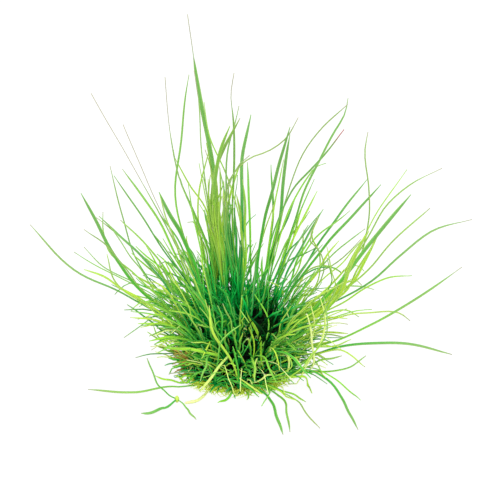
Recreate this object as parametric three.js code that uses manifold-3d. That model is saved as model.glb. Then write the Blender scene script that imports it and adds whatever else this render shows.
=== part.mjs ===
// Lilaeopsis mauritiana, a grass-like aquarium plant, as one clump whose roots are matted into a ball.
// Units are millimetres, +Z is up, and the origin is the middle of the root ball's flat underside.
import * as THREE from "three";
import { mergeVertices } from "three/addons/utils/BufferGeometryUtils.js";
import Module from "manifold-3d";

const wasm = await Module();
wasm.setup();

// The root ball: a flat-bottomed plug with rounded edges. Its top slopes down to the front.
const BALL_RADIUS = 23;
const BALL_HEIGHT = 15;
const BALL_SLOPE = 0.26;
const BALL_TAPER = 2.5;
const BALL_EDGE = 4;
const BALL_SIDES = 26;

// A shoot is a small round crown with its leaves.
// The crowns stand in two rings on the ball's top and one round its side.
// Its leaves start this far off its middle, each towards the side it leans to.
const CROWN_RADIUS = 1.5;
const LEAF_START = 0.6;
const GAP = 0.3;
const RINGS = {
  outer: { crowns: 24, radius: 19, lean: [20, 54], length: [34, 66], leaves: 5 },
  inner: { crowns: 16, radius: 12, lean: [4, 34], length: [36, 68], leaves: 3 },
  skirt: { crowns: 16, height: 4.2, lean: [52, 84], length: [22, 40], leaves: 2 },
};

// The shoots in front of this line have one leaf more than the others of their ring.
const FRONT_LINE = -8;

// Further leaves stay inside the clump's outline, which widens upwards from its half width at the bottom.
const CLUMP_HALF_WIDTH = 30;
const CLUMP_SPREAD = 0.85;
const CLUMP_LOWEST = -13;

// A leaf is a flat blade, narrow at its foot, widest past the middle, with a pointed tip.
const LEAF_THICKNESS = 0.5;
const LEAF_FOOT = 0.6;
const LEAF_WIDEST_AT = 0.55;
const LEAF_STEP = 20;
const LEAF_LOWEST = 0.35;
const LEAF_LYING = 0.9;
const TWIST_HELD = 2;

// Where two leaves of a shoot cross, corners closer than the first of these that works become one.
const CLOSE_CORNERS = [0.06, 0.04, 0.02, 0.01];

// Leaf points are read off a front view taken from this height above the horizon and this distance.
// Its upright middle line meets the ground at VIEW_MIDDLE, a little right of the ball's middle and
// behind it, and it is aimed this far up the view plane that passes through there.
const VIEW_ELEVATION = THREE.MathUtils.degToRad(24);
const VIEW_DISTANCE = 800;
const VIEW_MIDDLE = new THREE.Vector3(4.4, 4, 0);
const VIEW_AIM = 44.8;
const SIN = Math.sin(VIEW_ELEVATION);
const COS = Math.cos(VIEW_ELEVATION);
const TO_VIEWER = new THREE.Vector3(0, -COS, SIN);

// Each leaf: its ring, the bearing of its crown in degrees (0 right, 90 back, 180 left, 270 front),
// its width, and its points [across, up, back] from the foot to the tip.
// Across and up are in the view plane, and back is away from the viewer.
// A point with no back lies on the surface that the plant stands on.
const LEAVES = [
  // the tall leaves of the middle
  ["outer", 105, 2.1, [-13.5, 69, 25], [-19, 111, 24], [-25, 139, 18]],
  ["inner", 112, 1.3, [-18.4, 77, 12], [-20.8, 105, 6], [-22.4, 116.5, 3]],
  ["outer", 135, 1.1, [-29.6, 59, 22], [-28.4, 79, 28], [-26.4, 103, 34], [-24.4, 115, 36]],
  ["inner", 135, 1.2, [-17.2, 49, 12], [-25.6, 67, 10], [-31.2, 85, 4], [-34, 114, -6]],
  ["outer", 120, 0.9, [-14.8, 55, 25], [-22, 67, 30], [-30.8, 83, 38]],
  ["outer", 90, 1.2, [-7.2, 65, 20], [-6.4, 91, 14], [-7.6, 105, 8], [-6.4, 115.5, 4]],
  ["inner", 90, 0.9, [-10, 73, 14], [-6, 95, 20], [-4.4, 102.5, 24]],
  ["outer", 120, 1.5, [-14.8, 67, 20], [-12.4, 81, 12], [-4, 97.5, 0]],
  ["inner", 112, 1.7, [-14.4, 61, 4], [-12.4, 81.5, -8], [-8, 94.5, -16]],
  ["outer", 90, 1.7, [-2.8, 57, 24], [-3.6, 77, 30], [0.4, 99, 34]],
  ["inner", 90, 0.8, [-4.8, 41, 16], [-1.2, 55, 18], [2.4, 59, 20]],
  ["outer", 120, 1.2, [-11.2, 45, 26], [-8.4, 65, 34], [-3.2, 81.5, 42]],
  ["inner", 135, 0.9, [-20.4, 49, 16], [-20.4, 65, 22], [-16, 86.5, 32]],
  ["inner", 67, 0.8, [-2.4, 45, 14], [-7.2, 69, 16], [-15.2, 87, 20], [-18.4, 104, 22]],
  ["inner", 67, 2.1, [-2.8, 37, 8], [-3.2, 55, 2], [-5.4, 67, -4]],
  ["inner", 90, 1.5, [-3.6, 27, 6], [-1.6, 45, 2], [-1.8, 59, 0], [-3, 73, -2]],
  ["outer", 135, 2.0, [-14.4, 45, 16], [-15.2, 73, 10]],
  ["inner", 112, 1.8, [-11.6, 45, 6], [-12, 77.5, -4]],
  ["inner", 90, 1.8, [-8.4, 41, 6], [-10.8, 65.5, 0]],
  ["outer", 105, 1.6, [-8.8, 39, 16], [-7.6, 63, 14]],
  ["inner", 67, 0.9, [-10.4, 59, 12], [-5.6, 77.5, 10], [4.8, 83, 8], [13.2, 88, 4], [19.2, 97.5, 0]],

  // the upright leaves right of the middle
  ["outer", 75, 1.2, [8, 43, 26], [8.8, 63, 34], [8.4, 79, 40]],
  ["inner", 45, 1.5, [3.2, 43, 14], [6.8, 61, 10], [12, 80, 4], [16, 94, -2]],
  ["outer", 75, 1.6, [7.2, 37, 26], [12, 61, 28], [14.4, 81, 28], [16, 91, 27]],
  ["outer", 60, 1.4, [12.4, 40, 24], [20, 63.5, 28], [30, 85, 30], [37.6, 99, 30], [39.2, 105.5, 30]],
  ["inner", 45, 1.1, [10.8, 51, 10], [17.2, 73.5, 4], [26, 90.5, -6], [39, 103, -18]],
  ["inner", 22, 1.2, [10.8, 58, 6], [20, 72, -4], [30, 83, -14], [37.6, 93, -22]],
  ["outer", 60, 1.0, [13.6, 55, 26], [20, 69, 32], [25.2, 77, 36], [30.4, 79.5, 40]],
  ["outer", 15, 1.1, [29.6, 37.5, 8], [24.4, 47.5, 10], [27.6, 58, 12]],
  ["outer", 45, 0.9, [18.8, 35, 20], [21.6, 53, 26]],
  ["outer", 45, 1.4, [21.2, 37.5, 22], [32.8, 55, 30], [46.8, 73, 36]],
  ["inner", 22, 1.6, [21.2, 35, 6], [36, 53, 4], [52.4, 71, 0]],
  ["outer", 30, 1.3, [23.2, 31, 18], [28.8, 40, 22], [35.6, 48.5, 26]],

  // the right-hand fan
  ["outer", 0, 1.1, [38, 31, 4], [46.4, 49, 2], [47.6, 63, -2], [46, 83, -6], [47.2, 92, -8]],
  ["outer", 15, 0.8, [34, 29, 12], [48, 55, 22], [62.8, 77, 34]],
  ["outer", 0, 1.0, [34, 27, 2], [50, 56, 6], [62, 69.5, 8], [76.8, 77.5, 8]],
  ["outer", 345, 1.8, [36, 32, -8], [50, 50, -12], [64.4, 67, -16]],
  ["inner", 0, 1.4, [38, 29, -4], [54, 45, -10], [72, 61.5, -12]],
  ["outer", 15, 1.3, [38, 26, 8], [54, 37, 14], [70, 51, 20], [88.8, 57, 24]],
  ["outer", 330, 1.5, [34, 8, -18], [56, 19, -26], [72, 29, -30], [84.8, 38, -30]],
  ["outer", 0, 1.1, [38, 24, 4], [52, 33, 8], [64.8, 34.5, 10]],
  ["outer", 15, 0.9, [34, 28.5, 14], [42, 30.5, 20], [49.6, 29, 26]],
  ["outer", 30, 1.1, [21.2, 35, 12], [30, 38.5, 6], [36.8, 35.5, 2]],
  ["outer", 345, 1.1, [32.8, 27, -12], [33.2, 33.5, -16], [30.8, 46, -20]],
  ["outer", 345, 1.1, [32, 17, -14], [46, 20, -14], [59.2, 19.5, -12], [64, 16.5, -10]],
  ["inner", 337, 1.1, [34, 20.5, -4], [43.6, 18, -2]],
  ["outer", 330, 1.0, [30, 6, -20], [40.4, 9, -26]],
  ["outer", 0, 1.6, [32, 23.5, -4], [40, 39, -10], [48, 52.5, -14]],
  ["inner", 337, 1.8, [31.2, 21, -12], [38.4, 35, -20], [45.6, 50.5, -26]],
  ["outer", 30, 1.3, [36, 28, 12], [44, 37.5, 16], [51.2, 51.5, 18]],
  ["inner", 0, 1.5, [35.2, 25, 0], [42, 35, -2], [50, 47.5, -4]],
  ["outer", 30, 0.9, [30, 33, 16], [38, 41.5, 20], [45.6, 49.5, 22]],
  ["outer", 330, 1.7, [28.8, 17.5, -18], [36, 29, -26], [40.8, 40, -32]],
  ["outer", 315, 1.6, [23.2, 11, -22], [30, 21, -30], [35.2, 31, -36]],

  // low leaves on the right and in front
  ["skirt", 337, 1.8, [32, 5.5, -8], [52, 7, -6], [66, 7, -4], [80.8, 3, -2]],
  ["skirt", 337, 1.0, [32, 5, -14], [39.2, 3, -16], [46, -2, -16]],
  ["skirt", 315, 1.3, [27.2, 0, -22], [36.8, 2.5, -24]],
  ["skirt", 315, 1.3, [30, -3.5, -22], [38, -3, -26], [46.4, 2.5, -30]],
  ["skirt", 315, 1.4, [26, -3.5, -24], [34, -11], [39.2, -19.5], [43.2, -27]],
  ["skirt", 337, 0.8, [30, -4, -24], [38, -9.5], [44, -15]],
  ["skirt", 292, 1.4, [21.2, -5.5, -26], [23.2, -9], [24.8, -12.5]],
  ["skirt", 292, 1.0, [18, -13.5], [22.4, -16]],
  ["skirt", 292, 0.8, [16, -13], [21.2, -19], [28, -26.5]],
  ["skirt", 270, 1.6, [6.4, -13], [10, -19.5], [13.2, -29]],
  ["skirt", 270, 1.2, [10.8, -12], [14.4, -19], [16, -28]],
  ["skirt", 270, 1.2, [-0.8, -11], [-1.2, -15]],
  ["skirt", 247, 1.3, [-6.4, -11.5], [-12.8, -16]],
  ["skirt", 247, 1.2, [-5.6, -7, -30], [3.6, -14]],

  // low leaves on the left
  ["skirt", 225, 1.3, [-22, -9], [-40, -11], [-51.2, -12], [-64.8, -11]],
  ["skirt", 180, 1.2, [-27.2, 2.5, -6], [-32.8, 4.5, -8], [-38, 7, -10]],
  ["skirt", 202, 0.8, [-27.2, -1.5, -14], [-30.8, -2.5, -14], [-32.4, -5, -13]],
  ["outer", 195, 1.3, [-28, 7.5, -10], [-39.2, 16, -14], [-49.2, 23, -16]],
  ["outer", 180, 0.9, [-30, 13.5, -4], [-32.4, 10, -6], [-35.2, 8.5, -8], [-38.8, 15, -8]],
  ["skirt", 202, 1.0, [-26, -8.5], [-34, -7], [-38, -5.5]],

  // the left-hand fan
  ["outer", 180, 1.2, [-40, 21.5, 2], [-58, 30.5, 4], [-74, 40, 8], [-88, 55, 14]],
  ["outer", 195, 1.7, [-44, 25, -14], [-56, 33, -22], [-66.4, 37, -28]],
  ["outer", 165, 1.6, [-40, 25, 8], [-51.2, 37.5, 10], [-60, 53.5, 10], [-67.6, 67.5, 8]],
  ["outer", 180, 0.9, [-42, 28, -6], [-56, 45, -14], [-66.4, 53, -20]],
  ["outer", 165, 0.9, [-52, 40, 14], [-58.4, 50, 22], [-58.8, 60, 28]],
  ["outer", 195, 1.3, [-38, 28, -10], [-48, 43, -18], [-56.4, 55, -24]],
  ["outer", 150, 0.8, [-40, 32, 20], [-49.6, 53, 30], [-56, 78.5, 40]],
  ["inner", 157, 1.1, [-30, 39, 4], [-42, 56, 0], [-54.4, 74.5, -6]],
  ["inner", 157, 0.8, [-30, 47.5, 10], [-44, 73.5, 14], [-56, 94, 18], [-63.6, 107.5, 20]],
  ["outer", 150, 0.7, [-28.8, 47, 22], [-40, 69.5, 30], [-50.8, 95, 38]],
  ["inner", 180, 1.9, [-23.2, 43, 6], [-30, 55, 2], [-36.4, 68, -2]],
  ["inner", 180, 1.2, [-26, 37, -4], [-31.6, 52, -12], [-36, 66.5, -18]],
  ["outer", 165, 0.7, [-44, 30, 12], [-58, 36.5, 20], [-70.4, 44, 26]],
  ["outer", 150, 0.7, [-48, 33, 22], [-58, 37.5, 32], [-66.4, 46, 40]],
  ["outer", 210, 1.2, [-46, 25.5, -22], [-54, 33, -32], [-57.2, 43, -40]],
  ["outer", 150, 0.9, [-31.2, 29.5, 14], [-41.6, 46.5, 24]],
  ["outer", 210, 0.9, [-31.2, 29, -16], [-36.4, 40, -24]],
  ["inner", 157, 0.9, [-28, 29.5, 12], [-42, 35.5, 20]],
  ["outer", 135, 1.1, [-27.2, 25, 22], [-32.4, 36, 30]],

  // leaves that cross in front of the ball
  ["skirt", 270, 1.2, [-7.2, 0.5, -32], [-14.4, 10, -34], [-16.4, 22.5, -32]],
  ["outer", 255, 1.5, [-8.8, 2, -28], [-15.2, -5.5, -32], [-20, -12, -33]],
  ["skirt", 247, 1.2, [-12.4, 5, -32], [-9.6, 10.5, -34], [-3.6, 15, -34]],
  ["outer", 240, 1.5, [-14, 3, -30], [-24, 5, -28], [-34, 5.5, -24]],
  ["outer", 285, 1.5, [4.2, 3, -27], [4, 10, -26], [1, 17.5, -25], [-3.4, 26.5, -23]],
  ["outer", 240, 1.0, [-11, 8, -22], [-7, 12.5, -21], [-3.8, 14.6, -20]],
  ["outer", 255, 0.8, [-9, 7, -25], [-13, 11.4, -24], [-14.6, 19.4, -23]],
  ["outer", 240, 1.6, [-10.6, 12.6, -22], [-13, 22.6, -21]],
  ["skirt", 247, 1.0, [-12, -4, -31], [-15.8, -2, -31], [-20.2, 3.8, -30]],
  ["skirt", 292, 1.1, [17, -6, -31], [21.8, -0.2, -32], [28.6, 6.6, -33]],
  ["outer", 270, 1.1, [0.8, 12, -25], [-4, 21, -24]],
  ["outer", 285, 0.8, [7.6, 13.5, -24], [5.2, 21.5, -20], [0.8, 28.5, -16]],
  ["outer", 270, 0.9, [-1.2, 13, -26], [4.8, 20.5, -26]],
  ["skirt", 292, 1.3, [6.4, 9, -30], [0.4, 17.5, -28]],
  ["outer", 315, 0.8, [25.2, 11, -24], [23.2, 20.5, -26]],
  ["skirt", 315, 0.8, [26.4, 4, -30], [30.8, 15, -36], [29.6, 25.5, -38]],
  ["skirt", 292, 0.9, [16, -2.5, -32], [14.8, 4, -32]],
  ["outer", 300, 0.9, [11.6, 13, -18], [10, 25, -14]],
  ["outer", 300, 1.2, [20, 16, -24], [28, 21.5, -26]],
  ["outer", 225, 1.2, [-18, 7, -22], [-22, 15, -26], [-28, 23, -30]],
  ["outer", 240, 1.2, [-14, 10, -24], [-18, 25, -28]],
];

// The runner creeps from the ball to a daughter shoot with leaves of its own.
const RUNNER_RADIUS = 0.6;
const RUNNER_BEARING = 236;
const RUNNER_HEIGHT = 2.2;
const RUNNER_POINTS = [[-17.2, -12], [-22, -16], [-26.4, -16]];
const DAUGHTER_AT = [-29.2, -15.4];
const DAUGHTER_LEAVES = [
  [1.6, [-32.8, -17.5], [-38, -20], [-43.6, -20.5]],
  [1.2, [-33.6, -12.5, -36], [-37.2, -8, -36], [-41.2, 1.5, -36]],
  [1.0, [-25.2, -18.5], [-21.6, -23]],
  [1.3, [-26, -13.4, -33], [-22.8, -11.6, -32.5]],
];

// A leaf that would touch another shoot moves along the line of sight by the first of these that is clear.
const SHIFTS = [0];
for (let step = 1.2; step <= 14.5; step += 1.2) SHIFTS.push(-step, step);

const LEAF_GREEN = { color: 0x4c9a1c, roughness: 0.5, metalness: 0 };
const ROOT_BROWN = { color: 0x241d10, roughness: 0.95, metalness: 0 };
const RUNNER_PALE = { color: 0xb9c46a, roughness: 0.6, metalness: 0 };

// Park and Miller's generator, so that the same leaves grow on every run.
let seed = 20250;
function random(low, high) {
  seed = (seed * 16807) % 2147483647;
  return low + (high - low) * (seed / 2147483647);
}

// The point of a leaf from its place in the view: perspective is undone from the point's distance.
// Back is counted from the middle line, like across.
function fromView([across, up, back]) {
  const rise = up - VIEW_AIM;
  let y = back;
  let z = LEAF_LYING;
  if (back === undefined) {
    const level = VIEW_AIM + rise * (1 - (z * SIN) / VIEW_DISTANCE) - z * COS;
    y = level / (SIN - (rise * COS) / VIEW_DISTANCE);
  } else {
    const level = VIEW_AIM + rise * (1 + (y * COS) / VIEW_DISTANCE) - y * SIN;
    z = level / (COS + (rise * SIN) / VIEW_DISTANCE);
  }
  const toward = z * SIN - y * COS;
  return new THREE.Vector3(across * (1 - toward / VIEW_DISTANCE), y, z).add(VIEW_MIDDLE);
}

// The ball's radius swells and shrinks a little round its side.
function lumps(bearing) {
  return 1 + 0.02 * Math.sin(3 * bearing + 1) + 0.015 * Math.sin(7 * bearing);
}

function topHeight(y) {
  return BALL_HEIGHT + BALL_SLOPE * y;
}

function sideRadius(bearing, height) {
  const top = topHeight(BALL_RADIUS * Math.sin(bearing));
  return (BALL_RADIUS - BALL_TAPER * (1 - height / top)) * lumps(bearing);
}

function ballGeometry() {
  const edge = BALL_EDGE * 0.3;
  const profile = [
    [0, 0],
    [BALL_RADIUS - BALL_TAPER - 1, 0],
    [BALL_RADIUS - BALL_TAPER, 1],
    [BALL_RADIUS, BALL_HEIGHT - BALL_EDGE],
    [BALL_RADIUS - edge, BALL_HEIGHT - edge],
    [BALL_RADIUS - BALL_EDGE, BALL_HEIGHT],
    [0, BALL_HEIGHT],
  ];
  const geometry = new THREE.LatheGeometry(
    profile.map(([radius, height]) => new THREE.Vector2(radius, height)),
    BALL_SIDES,
  );
  geometry.rotateX(Math.PI / 2);
  const place = geometry.getAttribute("position");
  for (let i = 0; i < place.count; i++) {
    const swell = lumps(Math.atan2(place.getY(i), place.getX(i)));
    const y = place.getY(i) * swell;
    place.setXYZ(i, place.getX(i) * swell, y, (place.getZ(i) / BALL_HEIGHT) * topHeight(y));
  }
  return geometry;
}

function solidOf(geometry) {
  const bare = geometry.clone();
  bare.deleteAttribute("normal");
  bare.deleteAttribute("uv");
  const merged = mergeVertices(bare, 1e-4);
  return new wasm.Manifold(
    new wasm.Mesh({
      numProp: 3,
      vertProperties: merged.getAttribute("position").array,
      triVerts: new Uint32Array(merged.index.array),
    }),
  );
}

function geometryOf(solid) {
  const mesh = solid.getMesh();
  const geometry = new THREE.BufferGeometry();
  geometry.setAttribute("position", new THREE.BufferAttribute(mesh.vertProperties, 3));
  geometry.setIndex(new THREE.BufferAttribute(mesh.triVerts, 1));
  geometry.computeVertexNormals();
  return geometry;
}

// The same solid with its close corners made one, so that no face is a mere splinter.
// It counts as closed where every edge belongs to two faces.
function tidied(solid) {
  const geometry = geometryOf(solid);
  geometry.deleteAttribute("normal");
  for (const distance of CLOSE_CORNERS) {
    const merged = mergeVertices(geometry, distance);
    const faces = [];
    const edges = new Set();
    for (let i = 0; i < merged.index.count; i += 3) {
      const corners = [0, 1, 2].map((k) => merged.index.getX(i + k));
      if (new Set(corners).size < 3) continue;
      faces.push(...corners);
      corners.forEach((corner, k) => {
        const next = corners[(k + 1) % 3];
        edges.add(`${Math.min(corner, next)} ${Math.max(corner, next)}`);
      });
    }
    merged.setIndex(faces);
    if (edges.size * 2 === faces.length) return solidOf(merged);
  }
  return solid;
}

// A leaf's width along its length, as a share of its greatest width.
function widthShare(t) {
  const rise = Math.sin((Math.PI / 2) * Math.min(t / LEAF_WIDEST_AT, 1));
  const fall = Math.max(0, (t - LEAF_WIDEST_AT) / (1 - LEAF_WIDEST_AT));
  return (LEAF_FOOT + (1 - LEAF_FOOT) * rise) * (1 - fall ** 3);
}

// A blade of three-cornered section carried along a smooth curve through the path, down to a point.
// Its broad side lies across the way the leaf heads, and is turned towards the viewer by facing.
// From one section to the next it turns by less than a right angle, so it never folds through itself.
function bladeSolid(path, width, thickness, facing) {
  const curve = new THREE.CatmullRomCurve3(path, false, "catmullrom", 0.5);
  const heading = path[path.length - 1].clone().sub(path[0]).setZ(0).normalize();
  const level = new THREE.Vector3(heading.y, -heading.x, 0);
  const steps = Math.max(path.length, Math.round(curve.getLength() / LEAF_STEP));
  const corners = [];
  const side = new THREE.Vector3();
  for (let step = 0; step < steps; step++) {
    const t = step / steps;
    const middle = curve.getPoint(t);
    const along = curve.getTangent(t);
    const face = level.clone().cross(along).normalize();
    face.addScaledVector(TO_VIEWER, facing[0] + facing[1] * t);
    const turned = along.clone().cross(face).normalize();
    if (turned.dot(side) < 0) turned.negate();
    side.multiplyScalar(TWIST_HELD).add(turned);
    side.addScaledVector(along, -side.dot(along)).normalize();
    face.copy(side).cross(along).normalize();
    const half = (width * widthShare(t)) / 2;
    corners.push(middle.clone().addScaledVector(side, half).addScaledVector(face, -thickness / 3));
    corners.push(middle.clone().addScaledVector(face, (thickness * 2) / 3));
    corners.push(middle.clone().addScaledVector(side, -half).addScaledVector(face, -thickness / 3));
  }
  corners.push(path[path.length - 1].clone());
  const tip = corners.length - 1;
  const faces = [0, 1, 2];
  for (let ring = 0; ring < tip - 3; ring += 3) {
    for (let k = 0; k < 3; k++) {
      const [a, b] = [ring + k, ring + ((k + 1) % 3)];
      faces.push(a, a + 3, b + 3, a, b + 3, b);
    }
  }
  for (let k = 0; k < 3; k++) faces.push(tip - 3 + k, tip, tip - 3 + ((k + 1) % 3));
  const geometry = new THREE.BufferGeometry().setFromPoints(corners);
  geometry.setIndex(faces);
  const solid = solidOf(geometry);
  if (solid.volume() > 0) return solid;
  geometry.setIndex(faces.reverse());
  return solidOf(geometry);
}

function crownSolid(centre) {
  const crown = new THREE.OctahedronGeometry(CROWN_RADIUS, 0);
  crown.translate(centre.x, centre.y, centre.z);
  return solidOf(crown);
}

function crownCentre(ring, slot) {
  const bearing = (slot / RINGS[ring].crowns) * 2 * Math.PI;
  let { radius, height } = RINGS[ring];
  if (radius === undefined) radius = sideRadius(bearing, height) + CROWN_RADIUS + GAP;
  const y = radius * Math.sin(bearing);
  if (height === undefined) height = topHeight(y) + CROWN_RADIUS + GAP;
  return new THREE.Vector3(radius * Math.cos(bearing), y, height);
}

function insideClump(point) {
  const { x, y, z } = point.clone().sub(VIEW_MIDDLE);
  const up = z * COS + y * SIN;
  return up > CLUMP_LOWEST && Math.abs(x) < CLUMP_HALF_WIDTH + CLUMP_SPREAD * up;
}

// A further leaf for a crown that has too few: it leans outwards, often further in front, and droops a little.
function fillLeaf(ring, centre) {
  const { lean, length } = RINGS[ring];
  const outward = Math.atan2(centre.y, centre.x) + random(-0.5, 0.5);
  const frontness = Math.max(0, -Math.sin(outward));
  const tilt = THREE.MathUtils.degToRad(
    Math.min(random(lean[0], lean[1] + 30 * frontness), 86),
  );
  let reach = random(length[0], length[1]) * (1 - 0.4 * frontness);
  const spot = (share, angle) =>
    new THREE.Vector3(
      centre.x + reach * share * Math.sin(angle) * Math.cos(outward),
      centre.y + reach * share * Math.sin(angle) * Math.sin(outward),
      Math.max(centre.z + reach * share * Math.cos(angle), LEAF_LYING),
    );
  while (reach > 8 && !insideClump(spot(1, tilt))) reach *= 0.9;
  return {
    width: random(0.75, 1.4),
    path: [centre, spot(0.5, tilt * 0.75), spot(1, tilt)],
  };
}

// The same path seen from the viewer's place, moved along the line of sight by shift at its tip.
function shifted(path, shift) {
  return path.map((point, i) => {
    const share = i / (path.length - 1);
    const move = shift * Math.sqrt(share) * (i > 0 ? 1 : 0);
    return new THREE.Vector3(point.x, point.y + move, point.z - move * (SIN / COS));
  });
}

function boxesMeet(a, b) {
  return a.min.every((low, k) => low < b.max[k] && b.min[k] < a.max[k]);
}

// Adds the leaf to its shoot where it is clear of every other shoot and of the ball.
function grow(shoot, leaf, others) {
  const facing = [random(0.3, 1.6), random(-1.2, 1.2)];
  for (const shift of SHIFTS) {
    const path = shifted(leaf.path, shift);
    const lean = path[1].clone().sub(path[0]).setLength(LEAF_START);
    path[0] = path[0].clone().add(lean);
    if (path.some((point) => point.z < LEAF_LOWEST + LEAF_THICKNESS)) continue;
    const probe = bladeSolid(path, leaf.width + 2 * GAP, LEAF_THICKNESS + 2 * GAP, facing);
    const box = probe.boundingBox();
    const meets = others.some(
      (other) =>
        boxesMeet(box, other.solid.boundingBox()) && !probe.intersect(other.solid).isEmpty(),
    );
    if (meets) continue;
    shoot.solid = shoot.solid.add(bladeSolid(path, leaf.width, LEAF_THICKNESS, facing));
    shoot.count += 1;
    return true;
  }
  return false;
}

function runnerSolid(start, points) {
  const curve = new THREE.CatmullRomCurve3([start, ...points], false, "catmullrom", 0.5);
  const section = new THREE.Shape().absarc(0, 0, RUNNER_RADIUS, 0, 2 * Math.PI);
  return solidOf(
    new THREE.ExtrudeGeometry(section, { steps: 10, curveSegments: 3, extrudePath: curve }),
  );
}

function buildShoots(ball) {
  const shoots = [];
  for (const [ring, { crowns }] of Object.entries(RINGS)) {
    for (let slot = 0; slot < crowns; slot++) {
      const centre = crownCentre(ring, slot);
      const name = `shoot_${ring}_${String(slot + 1).padStart(2, "0")}`;
      shoots.push({ ring, slot, name, centre, solid: crownSolid(centre), count: 0 });
    }
  }
  const daughterCentre = fromView(DAUGHTER_AT);
  daughterCentre.z = CROWN_RADIUS;
  const daughter = { name: "daughter_shoot", centre: daughterCentre, count: 0 };
  daughter.solid = crownSolid(daughterCentre);
  shoots.push(daughter);

  const side = THREE.MathUtils.degToRad(RUNNER_BEARING);
  const start = sideRadius(side, RUNNER_HEIGHT) + GAP;
  const runner = { name: "runner" };
  runner.solid = runnerSolid(
    new THREE.Vector3(start * Math.cos(side), start * Math.sin(side), RUNNER_HEIGHT),
    RUNNER_POINTS.map(fromView),
  );
  const all = [ball, runner, ...shoots];
  const growOn = (shoot, leaf) =>
    grow(
      shoot,
      leaf,
      all.filter((other) => other !== shoot),
    );

  for (const [ring, bearing, width, ...points] of LEAVES) {
    const { crowns } = RINGS[ring];
    const slot = Math.round((bearing / 360) * crowns) % crowns;
    const shoot = shoots.find((s) => s.ring === ring && s.slot === slot);
    const path = [shoot.centre, ...points.map(fromView)];
    if (!growOn(shoot, { width, path })) console.warn("no room for", ring, bearing, width);
  }
  for (const [width, ...points] of DAUGHTER_LEAVES) {
    const path = [daughterCentre, ...points.map(fromView)];
    if (!growOn(daughter, { width, path })) console.warn("no room on the daughter shoot");
  }
  for (const shoot of shoots) {
    if (shoot === daughter) continue;
    const wanted = RINGS[shoot.ring].leaves + (shoot.centre.y < FRONT_LINE ? 1 : 0);
    for (let tries = 0; shoot.count < wanted && tries < 9; tries++) {
      growOn(shoot, fillLeaf(shoot.ring, shoot.centre));
    }
  }
  return { shoots, runner };
}

function mesh(name, solid, finish) {
  const made = new THREE.Mesh(geometryOf(solid), new THREE.MeshStandardMaterial(finish));
  made.name = name;
  return made;
}

const ball = { name: "root_ball", solid: solidOf(ballGeometry()) };
const { shoots, runner } = buildShoots(ball);
const plant = new THREE.Group();
plant.add(mesh(ball.name, ball.solid, ROOT_BROWN), mesh(runner.name, runner.solid, RUNNER_PALE));
for (const shoot of shoots) plant.add(mesh(shoot.name, tidied(shoot.solid), LEAF_GREEN));

export default plant;
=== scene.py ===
# %% [markdown]
# This script dresses one clump of Lilaeopsis mauritiana, a small water plant that looks like grass.
# The clump has a dark ball of matted roots and some hundreds of narrow leaves that fan out from it.
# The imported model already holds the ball, and more than two hundred faceted leaves in their true places.
# Here each faceted leaf becomes a smooth one, and finer leaves fill the room between them.

import math

import bpy
import numpy as np
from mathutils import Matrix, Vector


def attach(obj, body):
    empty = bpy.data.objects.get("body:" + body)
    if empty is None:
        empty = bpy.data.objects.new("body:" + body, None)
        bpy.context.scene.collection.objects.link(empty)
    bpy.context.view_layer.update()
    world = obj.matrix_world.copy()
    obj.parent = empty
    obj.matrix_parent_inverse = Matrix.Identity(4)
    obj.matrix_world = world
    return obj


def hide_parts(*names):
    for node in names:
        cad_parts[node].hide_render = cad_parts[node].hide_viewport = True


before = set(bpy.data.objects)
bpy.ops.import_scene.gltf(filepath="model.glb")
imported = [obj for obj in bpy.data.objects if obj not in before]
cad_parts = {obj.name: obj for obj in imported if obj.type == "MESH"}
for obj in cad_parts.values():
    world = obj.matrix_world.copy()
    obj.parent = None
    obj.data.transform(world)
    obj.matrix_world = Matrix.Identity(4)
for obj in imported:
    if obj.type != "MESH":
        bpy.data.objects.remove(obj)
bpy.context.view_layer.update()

# %% [markdown]
# The ball has the round shape of the small net pots that such plants are mostly grown in.
# Its flat underside carries the plant, and its top slopes down to the front.
# Everything else is placed from that ball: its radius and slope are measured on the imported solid,
# and the shoots stand in two rings on its top and in one ring round its side.

# %% Measure the root ball and place the crowns
MM = 0.001
CENTIMETRE = 10 * MM
CROWN_RADIUS = 1.5 * MM
GAP = 0.3 * MM
BALL_TAPER = 2.5 * MM
BALL_EDGE = 4 * MM
SKIRT_HEIGHT = 4.2 * MM
ROUNDING = 0.1 * MM
OUTER_SHARE = 19 / 23
INNER_SHARE = 12 / 23
CROWNS = {"outer": 24, "inner": 16, "skirt": 16}


def lumps(bearing):
    """How much the ball swells or shrinks at a bearing: one plus a wave of three and a wave of seven."""
    return 1 + 0.02 * np.sin(3 * bearing + 1) + 0.015 * np.sin(7 * bearing)


def bearing_of(place):
    """The bearing of a place round the ball's axis."""
    return math.atan2(place[1], place[0])


def round_ball(radius, bearing, height):
    """The place at a radius, a bearing and a height: radius x cosine, radius x sine, height."""
    return np.array([radius * math.cos(bearing), radius * math.sin(bearing), height])


def merged(node):
    """A node's points, with those that coincide made one, and its triangles by point number."""
    data = node.data
    places = np.empty(len(data.vertices) * 3)
    data.vertices.foreach_get("co", places)
    corners = np.empty(len(data.loops), int)
    data.loops.foreach_get("vertex_index", corners)
    points, same = np.unique(places.reshape(-1, 3).round(7), axis=0, return_inverse=True)
    return points, same.reshape(-1)[corners].reshape(-1, 3)


ball_points, _ = merged(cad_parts["root_ball"])
ball_bearings = np.arctan2(ball_points[:, 1], ball_points[:, 0])
ball_radii = np.hypot(ball_points[:, 0], ball_points[:, 1]) / lumps(ball_bearings)
BALL_RADIUS = ball_radii.max()
on_top = np.abs(ball_radii - (BALL_RADIUS - BALL_EDGE)) < ROUNDING
BALL_SLOPE, BALL_HEIGHT = np.polyfit(ball_points[on_top, 1], ball_points[on_top, 2], 1)


def top_height(y):
    """The height of the ball's top: a plane that rises towards the back."""
    return BALL_HEIGHT + BALL_SLOPE * y


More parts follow.
